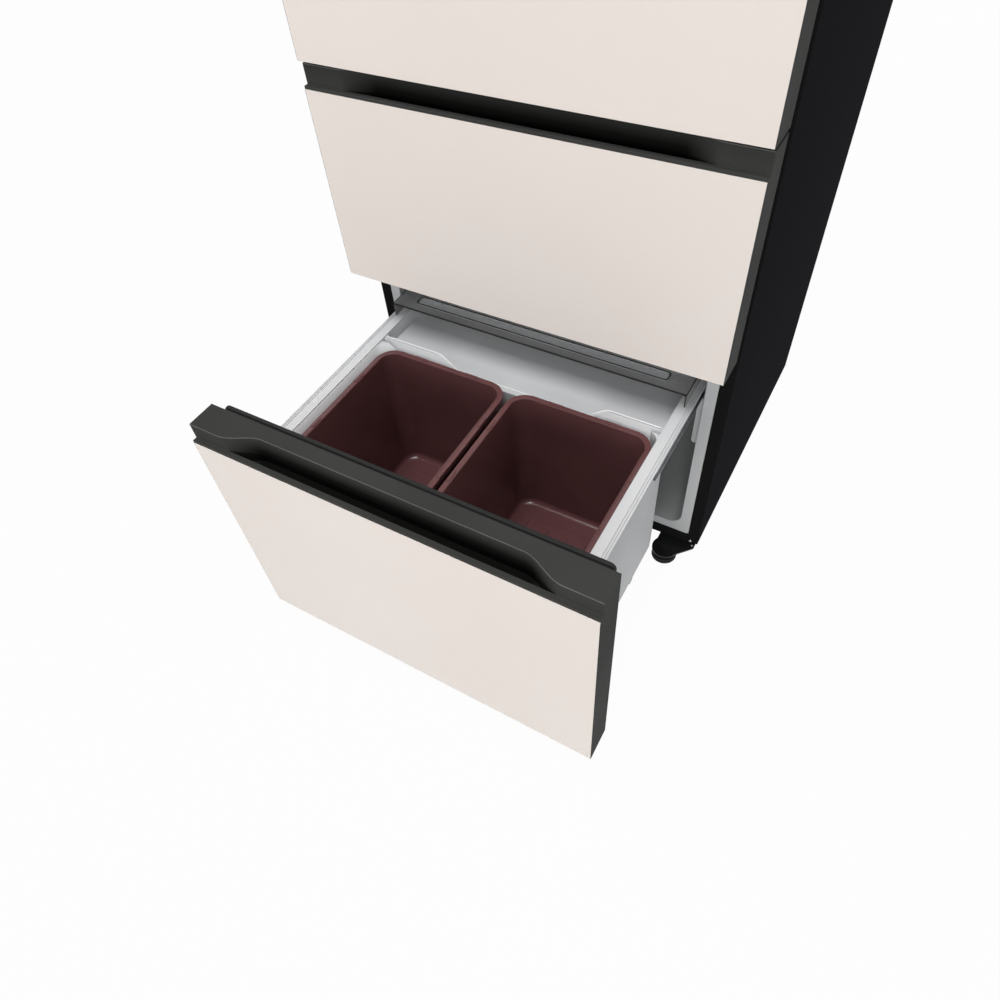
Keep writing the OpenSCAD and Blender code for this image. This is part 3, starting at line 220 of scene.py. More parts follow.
def clear(name, colour, other, rough, grain, depth, alpha, **fixed):
    """A see-through plastic or glass, clearer in the middle than at its edges."""
    f = plain(name, colour, other, rough, grain, depth, edge=0.0006, **fixed)
    facing = f.node("ShaderNodeLayerWeight")
    facing.inputs["Blend"].default_value = 0.35
    f.set("Alpha", f.spread(facing.outputs["Facing"], 0.0, 1.0, *alpha))
    return f


def metal(name, colour, other, rough, stretch, scale=90.0, depth=0.00001, **fixed):
    """Bare metal with drawn or brushed lines along one axis."""
    f = Finish(name, Metallic=1.0, **fixed)
    lines, large = f.noise(scale, 5.0, stretch), f.noise(7.0)
    f.set("Base Color", f.blend(f.spread(f.calc("ADD", lines, large), 0.7, 1.3), rgb(*colour), rgb(*other)))
    f.set("Roughness", f.spread(lines, 0.3, 0.7, *rough))
    f.set("Normal", f.bump(lines, depth, f.soft_edges(0.0005)))
    return f


def front_beige():
    return plain("front_beige", (229, 221, 215), (226, 217, 210), (0.42, 0.52), 900, 0.000006,
                 patch=2.5, edge=0.0006, Specular_IOR_Level=0.25).material


def charcoal(name):
    return plain(name, (62, 62, 61), (57, 58, 56), (0.45, 0.6), 1500, 0.00002, edge=0.0012,
                 wear=(96, 97, 95), wear_share=0.5, Specular_IOR_Level=0.01)


def grip_charcoal_shaded(name, top, out):
    """Fine-grained dark plastic with painted shade: near black and glossier down in the finger recess under
    the lip.
    """
    f = charcoal(name)
    # painted shade: the colour goes near black deeper down the finger recess, where shade falls
    depth = f.spread(f.along("Z"), (top - 2) / 1000, (top - 28) / 1000)
    inner = f.spread(f.calc("ABSOLUTE", f.along("X")), 0.285, 0.235)
    behind = f.spread(f.along("Y"), (10 + FACE - out) / 1000, (11 + FACE - out) / 1000)
    pocket_shade = f.calc("MULTIPLY", f.calc("MULTIPLY", depth, inner), behind)
    f.set("Base Color", f.blend(pocket_shade, f.coming_in("Base Color"), rgb(20, 20, 19)))
    f.set("Roughness", f.calc("SUBTRACT", f.coming_in("Roughness"), f.calc("MULTIPLY", pocket_shade, 0.25)))
    return f.material


def cabinet_black():
    """Stoved black paint with a faint orange-peel, with painted shade on the narrow front fold: darker and
    glossier there.
    """
    f = plain("cabinet_black", (29, 29, 32), (33, 33, 36), (0.42, 0.55), 420, 0.000012,
              patch=1.8, edge=0.0012, wear=(44, 44, 46), Specular_IOR_Level=0.0002)
    # painted shade: the front fold is the same paint as the side, painted darker to stand for its shade
    fold = f.spread(f.along("Y"), (CAB_FRONT + 1.6 + FACE) / 1000, (CAB_FRONT + 1.1 + FACE) / 1000)
    f.set("Base Color", f.blend(fold, f.coming_in("Base Color"), rgb(25, 26, 25)))
    f.set("Roughness", f.calc("SUBTRACT", f.coming_in("Roughness"), f.calc("MULTIPLY", fold, 0.22)))
    return f.material


def zinc():
    """Galvanised sheet: metal with small dull crystals."""
    f = Finish("zinc", Metallic=1.0)
    crystals = f.cells(190.0, "Color")
    grey = f.node("ShaderNodeRGBToBW")
    f.feed(crystals, grey.inputs[0])
    fine = f.noise(400.0)
    f.set("Base Color", f.blend(f.spread(grey.outputs[0], 0.2, 0.8), rgb(160, 163, 166), rgb(175, 177, 180)))
    f.set("Roughness", f.spread(f.calc("ADD", grey.outputs[0], fine), 0.5, 1.5, 0.4, 0.5))
    f.set("Normal", f.bump(fine, 0.00001, f.soft_edges(0.0005)))
    return f.material


def foam():
    """Sprayed polyurethane foam with its small cells."""
    f = Finish("foam", Specular_IOR_Level=0.1)
    pores, large = f.cells(260.0), f.noise(18.0)
    f.set("Base Color", f.blend(f.spread(large, 0.3, 0.7), rgb(226, 212, 160), rgb(210, 190, 130)))
    f.set("Roughness", f.spread(pores, 0.0, 0.6, 0.85, 1.0))
    f.set("Normal", f.bump(pores, 0.0006))
    return f.material


def copper():
    f = Finish("copper", Metallic=1.0)
    tarnish, lines = f.noise(60.0, 5.0), f.noise(300.0)
    f.set("Base Color", f.blend(f.spread(tarnish, 0.4, 0.65), rgb(205, 132, 92), rgb(128, 78, 56)))
    f.set("Roughness", f.spread(f.calc("ADD", tarnish, lines), 0.7, 1.3, 0.2, 0.45))
    f.set("Normal", f.bump(lines, 0.00001))
    return f.material


def rubber():
    return plain("rubber", (26, 26, 27), (34, 34, 34), (0.55, 0.75), 700, 0.00003,
                 edge=0.0006, Specular_IOR_Level=0.25).material


FINISHES = {
    "front_paint": front_beige(),
    "charcoal_trim": charcoal("trim_charcoal").material,
    "cabinet_paint": cabinet_black(),
    "zinc_steel": zinc(),
    "insulation": foam(),
    "liner_plastic": plain("liner_grey", (188, 190, 190), (182, 184, 185), (0.34, 0.46), 300, 0.00001,
                           edge=0.0015, Specular_IOR_Level=0.25).material,
    "inner_plastic": plain("tub_white", (212, 213, 214), (206, 208, 210), (0.3, 0.4), 300, 0.00001,
                           edge=0.0015, Specular_IOR_Level=0.3).material,
    "coated_steel": plain("rail_grey", (208, 209, 210), (200, 202, 204), (0.34, 0.46), 500, 0.00001,
                          edge=0.0008, wear=(150, 152, 155), Specular_IOR_Level=0.25).material,
    "fin_aluminium": metal("fin_aluminium", (186, 190, 194), (160, 165, 170), (0.3, 0.5),
                           (1, 1, 12)).material,
    "tube_copper": copper(),
    "black_plastic": plain("black_plastic", (18, 18, 20), (25, 25, 26), (0.3, 0.45), 1200, 0.00002,
                           wear=(60, 60, 62), Specular_IOR_Level=0.25).material,
    "bracket_paint": plain("bracket_black", (15, 16, 18), (22, 22, 23), (0.28, 0.42), 800, 0.00002,
                           wear=(70, 70, 72), Specular_IOR_Level=0.2).material,
    "gasket_rubber": rubber(),
    "container_plastic": clear("container_plum", (113, 74, 75), (99, 64, 65), (0.16, 0.28), 500, 0.00001,
                               (0.9, 1.0), Specular_IOR_Level=0.4).material,
    "smoked_plastic": clear("smoked_cover", (172, 172, 171), (160, 160, 159), (0.1, 0.2), 600, 0.00001,
                            (0.36, 0.9), Specular_IOR_Level=0.4).material,
    "clear_plastic": clear("clear_bin", (214, 222, 226), (200, 210, 214), (0.08, 0.16), 500, 0.00001,
                           (0.22, 0.8)).material,
    "clear_glass": clear("shelf_glass", (196, 214, 208), (186, 206, 200), (0.03, 0.06), 300, 0.000004,
                         (0.2, 0.85)).material,
    "lamp_lens": clear("lamp_lens", (244, 244, 240), (236, 236, 230), (0.3, 0.42), 900, 0.00004,
                       (0.75, 0.95)).material,
}
GRIPS = {
    "lower_drawer_grip": grip_charcoal_shaded("lower_grip", LOWER_TOP, LOWER_OUT),
    "middle_drawer_grip": grip_charcoal_shaded("middle_grip", MIDDLE_TOP, 0),
}
screw_steel = metal("screw_steel", (196, 196, 192), (150, 150, 148), (0.2, 0.4), (1, 1, 1)).material
# painted highlight: near white for the tub ridge's crest bead, standing for the light along the crest's edge
crest_highlight_paint = plain("crest_highlight_paint", (250, 250, 250), (243, 244, 245), (0.25, 0.35), 600, 0.00001,
                    edge=0.0004, Specular_IOR_Level=0.4).material
# painted highlight: a light grey for the grip's lip bead, standing for the light caught along the lip's
# rounded edge
lip_highlight_paint = plain("lip_highlight_paint", (98, 99, 98), (84, 85, 84), (0.3, 0.45), 1500, 0.00001,
                  Specular_IOR_Level=0.4).material
# painted light on the fronts' lower edge lines: grey as a painted highlight, dark brown-grey as a painted
# shadow, on the same edge of both drawers
edge_grey = plain("edge_grey", (150, 149, 147), (138, 137, 135), (0.3, 0.45), 900, 0.00001).material
edge_dark = plain("edge_dark", (66, 56, 50), (56, 48, 44), (0.3, 0.45), 900, 0.00001,
                  Specular_IOR_Level=0.1).material
display_mark = plain("display_mark", (206, 210, 214), (196, 200, 206), (0.4, 0.5), 1500,
                     0.000004).material
cover_edge = plain("cover_edge", (34, 34, 34), (46, 46, 46), (0.3, 0.45), 900, 0.00001,
                   Specular_IOR_Level=0.05).material

for name, node in frame["nodes"].items():
    for part_slot in node.material_slots:
        part_slot.material = GRIPS.get(name, FINISHES[part_slot.material.name.split(".")[0]])

# ---- Shapes --------------------------------------------------------------------------------


def rect_ring(ax, ay, bx, by, r, n):
    """Points round a rectangle with rounded corners."""
    r = max(min(r, (bx - ax) / 2, (by - ay) / 2), 0.05)
    ring = []
    corners = ((bx - r, by - r, 0), (ax + r, by - r, 90), (ax + r, ay + r, 180), (bx - r, ay + r, 270))
    for cx, cy, start in corners:
        for i in range(n + 1):
            t = math.radians(start + 90 * i / n)
            ring.append((cx + r * math.cos(t), cy + r * math.sin(t)))
    return ring


def lay(plane, p, v):
    """A point of a flat shape in the xz, xy or yz plane, at v along the plane's normal."""
    return {"xz": (p[0], v, p[1]), "xy": (p[0], p[1], v), "yz": (v, p[0], p[1])}[plane]


class Shape:
    """Faces collected for one piece."""

    def __init__(self, out=0.0):
        self.verts, self.faces, self.out = [], [], out

    def loft(self, rings, closed=False):
        """A skin through rings of equal count; open ends are capped."""
        n, m, base = len(rings[0]), len(rings), len(self.verts)
        for ring in rings:
            self.verts += [at(*p, out=self.out) for p in ring]
        for i in range(m if closed else m - 1):
            j = (i + 1) % m
            for k in range(n):
                here, there, near = base + i * n, base + j * n, (k + 1) % n
                self.faces.append((here + k, here + near, there + near, there + k))
        if not closed:
            self.faces.append(tuple(base + k for k in range(n)))
            self.faces.append(tuple(base + (m - 1) * n + k for k in range(n)))
        return self

    def border(self, plane, a, b, r, profile, n=6):
        """A closed bar round a rectangle; the profile's points are (outwards, along the plane's normal)."""
        rings = []
        for u, v in profile:
            ring = rect_ring(a[0] - u, a[1] - u, b[0] + u, b[1] + u, r + u, n)
            rings.append([lay(plane, p, v) for p in ring])
        return self.loft(rings, closed=True)

    def plate(self, plane, a, b, v0, v1, r=1.0, edge=0.4, n=4):
        """A flat plate with rounded corners and softened edges."""
        rings = []
        for u, v in ((-edge, v0), (0, v0 + edge), (0, v1 - edge), (-edge, v1)):
            ring = rect_ring(a[0] - u, a[1] - u, b[0] + u, b[1] + u, r + u, n)
            rings.append([lay(plane, p, v) for p in ring])
        return self.loft(rings)

    def turned(self, centre, axis, profile, n=32):
        """A turned shape; the profile's points are (radius, height along the axis)."""
        c, w = Vector(centre), Vector(axis).normalized()
        u = w.orthogonal().normalized()
        v = w.cross(u)
        rings = []
        for r, h in profile:
            r = max(r, 0.02)
            rings.append([tuple(c + w * h + (u * math.cos(t) + v * math.sin(t)) * r)
                          for t in (2 * math.pi * i / n for i in range(n))])
        return self.loft(rings)

    def hoop(self, centre, axis, radius, thick, n=48, m=10):
        """A ring of round section."""
        c, w = Vector(centre), Vector(axis).normalized()
        u = w.orthogonal().normalized()
        v = w.cross(u)
        rings = []
        for i in range(m):
            s = 2 * math.pi * i / m
            r, h = radius + thick * math.cos(s), thick * math.sin(s)
            rings.append([tuple(c + w * h + (u * math.cos(t) + v * math.sin(t)) * r)
                          for t in (2 * math.pi * k / n for k in range(n))])
        return self.loft(rings, closed=True)

    def tube(self, points, r, n=12):
        """A round bar along a line of points."""
        points = [Vector(p) for p in points]
        rings, side = [], None
        for i, p in enumerate(points):
            d = (points[min(i + 1, len(points) - 1)] - points[max(i - 1, 0)]).normalized()
            side = d.orthogonal().normalized() if side is None else (side - d * side.dot(d)).normalized()
            up = d.cross(side)
            rings.append([tuple(p + (side * math.cos(t) + up * math.sin(t)) * r)
                          for t in (2 * math.pi * k / n for k in range(n))])
        return self.loft(rings)

    def screw(self, centre, axis, r=3.5, h=2.2, n=32):
        """A pan head with a cross recess."""
        c, w = Vector(centre), Vector(axis).normalized()
        u = w.orthogonal().normalized()
        v = w.cross(u)
        rings = []
        for share in (1.0, 1.0, 0.94, 0.8, 0.62, 0.5, 0.38, 0.26, 0.14, 0.02):
            first = len(rings) == 0
            ring = []
            for k in range(n):
                t = 2 * math.pi * k / n
                x, y = share * math.cos(t), share * math.sin(t)
                height = 0.0 if first else h * (0.45 if len(rings) == 1 else 1 - 0.5 * share**3)
                if share < 0.6 and min(abs(x), abs(y)) < 0.13:
                    height -= h * 0.6
                ring.append(tuple(c + w * height + (u * x + v * y) * r))
            rings.append(ring)
        return self.loft(rings)


def piece(name, shape, material, body, angle=35):
    """The shape as one object, smooth but for edges sharper than the angle, riding on a body."""
    mesh = bpy.data.meshes.new(name)
    mesh.from_pydata([tuple(v) for v in shape.verts], [], shape.faces)
    work = bmesh.new()
    work.from_mesh(mesh)
    bmesh.ops.remove_doubles(work, verts=work.verts, dist=1e-6)
    bmesh.ops.dissolve_degenerate(work, edges=work.edges, dist=1e-6)
    bmesh.ops.recalc_face_normals(work, faces=work.faces)
    for face in work.faces:
        face.smooth = True
    for edge in work.edges:
        edge.smooth = len(edge.link_faces) == 2 and edge.calc_face_angle(0) < math.radians(angle)
    work.to_mesh(mesh)
    work.free()
    mesh.materials.append(material)
    made = bpy.data.objects.new(name, mesh)
    bpy.context.scene.collection.objects.link(made)
    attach(made, body)
    return made


# ---- Fronts --------------------------------------------------------------------------------

# section of a magnetic door seal (across, behind the face): foot, folded bellows, the magnet's flat sleeve
SEAL_HALF = 9
SEAL = [(-8.8, 58), (-8.8, 59.3), (-6.2, 60.0), (-5.4, 61.6), (-7.6, 63.4), (-7.6, 64.4), (-5.8, 66.0),
        (-8.6, 67.6), (-9.0, 68.4), (-9.0, 72.6), (-8.4, 73.5), (8.4, 73.5), (9.0, 72.6), (9.0, 68.4),
        (8.6, 67.6), (5.6, 66.0), (7.4, 64.4), (7.4, 63.4), (5.2, 61.6), (6.0, 60.0), (8.8, 59.3), (8.8, 58)]

# front, half width to the seal's middle line, its lower and upper edge, how far the front is out
SEALED = (("lower_drawer", 325, 43, 511, LOWER_OUT), ("middle_drawer", 325, 535.5, 867, 0),
          ("upper_door", 321, 895.5, 1815, 0))

for front, half, z0, z1, out in SEALED:
    ring = Shape(out).border("xz", (-half, z0 + SEAL_HALF), (half, z1 - SEAL_HALF), 1, SEAL)
    seal = piece(f"{front}_seal", ring, FINISHES["gasket_rubber"], front, angle=50)
    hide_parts(f"{front}_gasket")

# the grip's lip: level in the middle, then an S-curve of the blend's length out to either end
LIP_HALF, LIP_BLEND, LIP_MIDDLE, LIP_END = 220, 70, 32.4, 8.6
GRIP_HALF = 345.6


def lip(x):
    """How far behind the face the grip's lip lies."""
    t = min(max((abs(x) - LIP_HALF) / LIP_BLEND, 0), 1)
    return LIP_MIDDLE + (LIP_END - LIP_MIDDLE) * (1 - math.cos(math.pi * t)) / 2


curve = [LIP_HALF + LIP_BLEND * i / 24 for i in range(25)]
across = [-GRIP_HALF, -310] + [-x for x in reversed(curve)] + [-150, 0, 150] + curve + [310, GRIP_HALF]

# front, lower edge of its panel, top of its grip, how far it is out, painted light on the lower edge: a
# painted highlight on the lower front, a painted shadow on the middle one
for front, z0, top, out, edge_painted_light in (("lower_drawer", 26, LOWER_TOP, LOWER_OUT, edge_grey),
                                         ("middle_drawer", 525, MIDDLE_TOP, 0, edge_dark)):
    # a thin bead along each grip's lip, in a painted highlight colour
    bead = Shape(out).tube([(x, lip(x) + 0.5, top - 0.6) for x in across], 0.7, 8)
    piece(f"{front}_grip_highlight_bead", bead, lip_highlight_paint, front)
    # a thin line along each panel's lower edge, coloured with painted light
    edge_line = Shape(out).plate("xz", (-345.2, z0 + 0.05), (345.2, z0 + 1.1), 0.02, 1.4, 0.3, 0.2)
    piece(f"{front}_painted_edge_line", edge_line, edge_painted_light, front)

# ---- Tub and containers --------------------------------------------------------------------

# the ridge's low middle: its shift to the right, its half width and where the corners are fully raised
RIDGE_SHIFT, RIDGE_LOW, RIDGE_HIGH = 12, 122, 170
TRAY_DEEP, RIDGE_RISE = 28, 27


def ridge_height(x):
    """Height of the ridge between the lower tub's well and its tray."""
    t = min(max((abs(x - RIDGE_SHIFT) - RIDGE_LOW) / (RIDGE_HIGH - RIDGE_LOW), 0), 1)
    return LOWER_RIM - TRAY_DEEP + RIDGE_RISE * (1 - math.cos(math.pi * t)) / 2


RIDGE_END = 268
rise = [RIDGE_LOW + (RIDGE_HIGH - RIDGE_LOW) * i / 16 for i in range(17)]
stations = ([-RIDGE_END] + [RIDGE_SHIFT - x for x in reversed(rise)]
            + [RIDGE_SHIFT + x for x in rise] + [RIDGE_END])
# a bead along the ridge's crest, in a painted highlight colour
crest = Shape(LOWER_OUT).tube([(x, RIDGE_CREST, ridge_height(x) - 0.1) for x in stations], 1.1, 10)
piece("lower_tub_crest_highlight", crest, crest_highlight_paint, "lower_drawer")

# shoulder from the tub's left wall down to the left container's rim, round its rear corner
WALL_X, WALL_R, RIM_X, RIM_R = -273, 22, -264.3, 38.2
SHOULDER_FRONT, SHOULDER_TURN = 70, 72
shoulder = []
for k in range(13):
    turn = math.radians(SHOULDER_TURN * (k - 1) / 11) if k else 0.0
    wall_y = WELL_BACK - WALL_R + WALL_R * math.sin(turn) if k else SHOULDER_FRONT
    edge_y = WELL_BACK - 1 - RIM_R + RIM_R * math.sin(turn) if k else SHOULDER_FRONT
    wall = (WALL_X + WALL_R * (1 - math.cos(turn)), wall_y)
    edge = (RIM_X + RIM_R * (1 - math.cos(turn)), edge_y)
    shoulder.append([(*wall, 425.2), (*edge, 412.6), (*edge, 409.0), (*wall, 404.0)])
piece("lower_tub_shoulder", Shape(LOWER_OUT).loft(shoulder), FINISHES["inner_plastic"], "lower_drawer",
      angle=50)


# a container's width over its rim, and how far inside it the rim's bead and the floor's rib run
BOX_W, BEAD_IN, RIB_IN = 262, 8.5, 46


def container_trim(out, x0, y0, y1, floor, top):
    """Bead and steps on a container's rim, and ribs on its floor; x0 to y1 are the rim's outer edges."""
    made, x1 = Shape(out), x0 + BOX_W
    bead = [(-1.0, top - 0.3), (-0.7, top + 0.7), (0, top + 1.0), (0.7, top + 0.7), (1.0, top - 0.3)]
    made.border("xy", (x0 + BEAD_IN, y0 + BEAD_IN), (x1 - BEAD_IN, y1 - BEAD_IN), 28.5, bead, n=10)
    for share in (0.3, 0.7):
        x = x0 + (x1 - x0) * share
        made.plate("xy", (x - 14, y1 - 6.4), (x + 14, y1 - 0.6), top - 0.2, top + 1.8, 1.6, 0.5)
        y = y0 + (y1 - y0) * share
        for edge in (x0 + 0.6, x1 - 6.4):
            made.plate("xy", (edge, y - 12), (edge + 5.8, y + 12), top - 0.2, top + 1.5, 1.6, 0.5)
    rib = [(-1.8, floor - 0.2), (-1.2, floor + 0.9), (1.2, floor + 0.9), (1.8, floor - 0.2)]
    made.border("xy", (x0 + RIB_IN, y0 + RIB_IN), (x1 - RIB_IN, y1 - RIB_IN), 14, rib, n=8)
    for share in (0.35, 0.5, 0.65):
        x = x0 + (x1 - x0) * share
        made.plate("xy", (x - 1.6, y0 + 62), (x + 1.6, y1 - 62), floor - 0.2, floor + 1.1, 1.5, 0.5)
    return made


for name, x0 in (("container_right", 9), ("container_left", -263)):
    piece(f"{name}_trim", container_trim(LOWER_OUT, x0, 76, 386, 138.3, 415),
          FINISHES["container_plastic"], name)
for row, y0 in (("front", 76), ("rear", 317)):
    for side, x0 in (("right", 5), ("left", -267)):
        piece(f"middle_{row}_{side}_trim", container_trim(0, x0, y0, y0 + 233, 583, 771),
              FINISHES["container_plastic"], "middle_drawer")

# ---- Cover plates --------------------------------------------------------------------------

# name and underside of each plate
for name, z in (("lower", 455), ("middle", 811)):
    lines = Shape()
    slot_lip = [(-1.1, z + 4.3), (-0.8, z + 5.0), (0.8, z + 5.0), (1.1, z + 4.3)]
    lines.border("xy", (-246, 46), (246, 66), 6, slot_lip, n=12)
    for height, thick in ((2.2, 0.8), (0.2, 0.6)):
        lines.tube([(-286.6, COVER_FRONT, z + height), (286.6, COVER_FRONT, z + height)], thick, 8)
    for side in (-1, 1):
        edge_x, skirt_x, skirt_foot, skirt_front = side * 286.8, side * 285.8, z - 24.6, COVER_FRONT + 0.6
        lines.tube([(edge_x, COVER_FRONT, z + 2.3), (edge_x, COVER_BACK, z + 2.3)], 0.8, 8)
        lines.tube([(skirt_x, skirt_front, skirt_foot), (skirt_x, COVER_BACK, skirt_foot)], 1.1, 8)
        lines.tube([(skirt_x, skirt_front, skirt_foot), (skirt_x, skirt_front, z + 2)], 1.1, 8)
        for drop in (3, 8, 13, 18):
            lines.tube([(side * 284.6, y, z - drop) for y in (COVER_FRONT + 1, COVER_BACK)], 0.9, 8)
    piece(f"{name}_cover_lines", lines, cover_edge, "cabinet")

# ---- Upper compartment ---------------------------------------------------------------------

for number, z in enumerate(SHELVES, 1):
    section = [(196.8, z - 1.0), (196.2, z), (196.2, z + 4.4), (196.9, z + 5.2), (203, z + 5.2),
               (203, z + 4.05), (198.05, z + 4.05), (198.05, z - 0.05), (203, z - 0.05), (203, z - 1.0)]
    trim = Shape().loft([[(x, y, h) for y, h in section] for x in (-294, 294)])
    piece(f"shelf_{number}_trim", trim, FINISHES["inner_plastic"], "cabinet", angle=50)

for number, z in enumerate(BINS, 1):
    top = z + BIN_H
    rail = [(0, top - 0.2), (0, top + 1.2), (-0.5, top + 1.7), (-1.7, top + 1.7), (-2.1, top + 1.2),
            (-2.1, top - 0.2)]
    trim = Shape().border("xy", (-284.6, 58.4), (284.6, 119.9), 0.6, rail)
    for low, high in ((top - 26, top - 20), (top - 14, top - 11)):
        trim.plate("xz", (-283, low), (283, high), 119.8, 121.4, 1.4, 0.5)
    piece(f"bin_{number}_trim", trim, FINISHES["inner_plastic"], "upper_door")

grille = Shape()
for radius in (18, 30, 42, 54):
    grille.hoop((0, DUCT_Y - 1.2, BLOWER_Z), (0, 1, 0), radius, 1.1)
grille.turned((0, DUCT_Y, BLOWER_Z), (0, -1, 0), [(17, 0), (17, 1.2), (15.5, 2.2), (0, 2.6)])
for i in range(8):
    turn = math.pi * i / 4
    u, v = math.cos(turn), math.sin(turn)
    grille.tube([(r * u, DUCT_Y - 1, BLOWER_Z + r * v) for r in (16, 55)], 1.2, 8)
OUTLET_FRAME = [(0.2, 584.4), (0.2, 582.9), (0.8, 582.4), (2.4, 582.4), (3.2, 583.2), (3.4, 584.2)]
for z in SHELVES:
    low, high = z + 60, z + 72
    for x in (-213, 113):
        grille.border("xz", (x, low), (x + 100, high), 1.5, OUTLET_FRAME)
        for k in range(1, 8):
            bar = x + 12.5 * k
            grille.plate("xz", (bar - 0.8, low), (bar + 0.8, high), DUCT_Y - 1, DUCT_Y + 2, 0.3, 0.2)
RETURN_FRAME = [(-1, 584.2), (-0.6, 583.0), (1.6, 583.0), (2, 584.2)]
for k in range(-5, 6):
    grille.plate("xz", (40 * k - 1.2, 988), (40 * k + 1.2, 1058), DUCT_Y - 0.8, DUCT_Y + 1, 0.8, 0.4)
grille.border("xz", (-246, 987.5), (246, 1058.5), 3, RETURN_FRAME)
piece("evaporator_cover_grilles", grille, FINISHES["liner_plastic"], "cabinet")

LAMP_FRAME = [(0.1, CEILING), (0.1, 1786), (0.6, 1785.2), (2.6, 1785.2), (3.6, 1786.2), (3.6, CEILING)]
bezel = Shape().border("xy", (-120, 204), (120, 239), 3, LAMP_FRAME)
for k in range(-5, 6):
    bezel.plate("xy", (21 * k - 0.6, 206), (21 * k + 0.6, 237), 1780.4, 1781.2, 0.3, 0.2)
piece("lamp_bezel", bezel, FINISHES["liner_plastic"], "cabinet")

marks = Shape()
MARK_LOW, MARK_HIGH = DISPLAY_FACE - 0.3, DISPLAY_FACE + 0.1
mark_line = [(-0.4, MARK_HIGH), (-0.4, MARK_LOW), (0.4, MARK_LOW), (0.4, MARK_HIGH)]
for x in (-66, -44, -22, 22, 44, 66):
    marks.border("xy", (x - 4, 107), (x + 4, 115), 4, mark_line)
    marks.plate("xy", (x - 5, 121), (x + 5, 122.2), MARK_LOW, MARK_HIGH, 0.5, 0.1)
marks.plate("xy", (-7, 105), (7, 125), MARK_LOW, MARK_HIGH, 2, 0.1)
piece("display_marks", marks, display_mark, "cabinet")

sensors = Shape()
sensors.turned((INNER_HALF, 400, 1450), (-1, 0, 0), [(16, 0), (16, 1.5), (14, 4.5), (11, 6), (0, 6.4)], 40)
sensors.turned((120, 397, 300), (0, -1, 0), [(11, 0), (11, 1), (9, 2.6), (0, 3)], 40)
for k in range(-2, 3):
    sensors.tube([(INNER_HALF - 6.2, y, 1450 + 4 * k) for y in (393, 407)], 0.9, 8)
piece("temperature_sensors", sensors, FINISHES["inner_plastic"], "cabinet")

# ---- Screws, feet and outside of the cabinet -----------------------------------------------

fixings = Shape()
for side in (-1, 1):
    fixings.screw((side * 332, CAB_FRONT, 32), (0, -1, 0), 3.4, 2.0)
    fixings.screw((side * 338.5, 70, BRACKET_TOP), (0, 0, 1), 2.2, 1.0)
    for x in (FOOT_X, FOOT_X + 36):
        fixings.screw((side * x, 102.3, BRACKET_TOP - 4), (0, 0, -1), 4.2, 2.4)
    for way in (-1, 1):
        axle_end = [(5, 0), (4.8, 1.0), (3.4, 1.9), (0, 2.3)]
        fixings.turned((side * (ROLLER_X + way * 14.3), ROLLER_Y, ROLLER_Z), (side * way, 0, 0), axle_end)
for x in (HINGE_X - 48, HINGE_X - 32):
    fixings.screw((x, CAB_FRONT - 2, MULLION), (0, -1, 0), 4.2, 2.2)
for z in (380, 730, 1080, 1430, 1780):
    for side in (-1, 1):
        fixings.screw((side * 314, REAR_SHEET, z), (0, 1, 0), 4.0, 0.9)
for x in (-160, 0, 160):
    fixings.screw((x, REAR_SHEET, CAB_TOP - 20), (0, 1, 0), 4.0, 0.9)
piece("cabinet_screws", fixings, screw_steel, "cabinet")

for name, side in (("foot_right", 1), ("foot_left", -1)):
    hexagon = [(8.2, 0), (9.4, 0.8), (9.4, 4.6), (8.2, 5.4)]
    nut = Shape().turned((side * FOOT_X, FOOT_Y, 10), (0, 0, 1), hexagon, 6)
    piece(f"{name}_nut", nut, screw_steel, name, angle=25)
    grip_ring = Shape()
    for k in range(24):
        turn = 2 * math.pi * k / 24
        x, y = side * FOOT_X + FOOT_R * math.cos(turn), FOOT_Y + FOOT_R * math.sin(turn)
        grip_ring.tube([(x, y, 0.6), (x, y, 3.7)], 1.0, 8)
    piece(f"{name}_knurl", grip_ring, FINISHES["black_plastic"], name)

swages = Shape()
SWAGE = [(u, REAR_SHEET + v) for u, v in ((-5, -0.1), (-3, 0.5), (0, 0.8), (3, 0.5), (5, -0.1))]
for z0, z1 in ((430, 1050), (1130, 1740)):
    swages.border("xz", (-262, z0), (262, z1), 30, SWAGE, n=10)
for x in (-200, 200):
    swages.turned((x, REAR_SHEET, 1780), (0, 1, 0), [(16, -0.1), (15.4, 0.6), (12, 0.9), (0, 0.9)], 40)
piece("rear_panel_swages", swages, FINISHES["zinc_steel"], "cabinet")

ROOF_SWAGE = [(u, CAB_TOP + v) for u, v in ((-5, -0.1), (-3, 0.7), (0, 1), (3, 0.7), (5, -0.1))]
roof = Shape().border("xy", (-245, 185), (245, 570), 40, ROOF_SWAGE, n=10)
for x, y in ((-300, 120), (0, 120), (-300, 620), (300, 620)):
    roof.turned((x, y, CAB_TOP), (0, 0, 1), [(10, -0.1), (9.6, 0.8), (7, 1.4), (0, 1.6)], 40)
piece("top_panel_swages", roof, FINISHES["cabinet_paint"], "cabinet")

SKIRTING = [(-0.5, 1838.4), (0.5, 1838.4), (0.9, 1838.8), (0.9, 1839.4), (0.4, 1840), (-0.5, 1840)]
skirting = Shape().border("xy", (286, 11.2), (344, 169.8), 1.0, SKIRTING)
for y in (80, 96, 112, 128, 144):
    for x in (HINGE_X - 40.4, HINGE_X + 17.6):
        skirting.plate("yz", (y, 1842), (y + 5, 1850.5), x, x + 0.8, 1.0, 0.2)
piece("hinge_cover_ribs", skirting, FINISHES["black_plastic"], "cabinet")

# ---- Machine room --------------------------------------------------------------------------

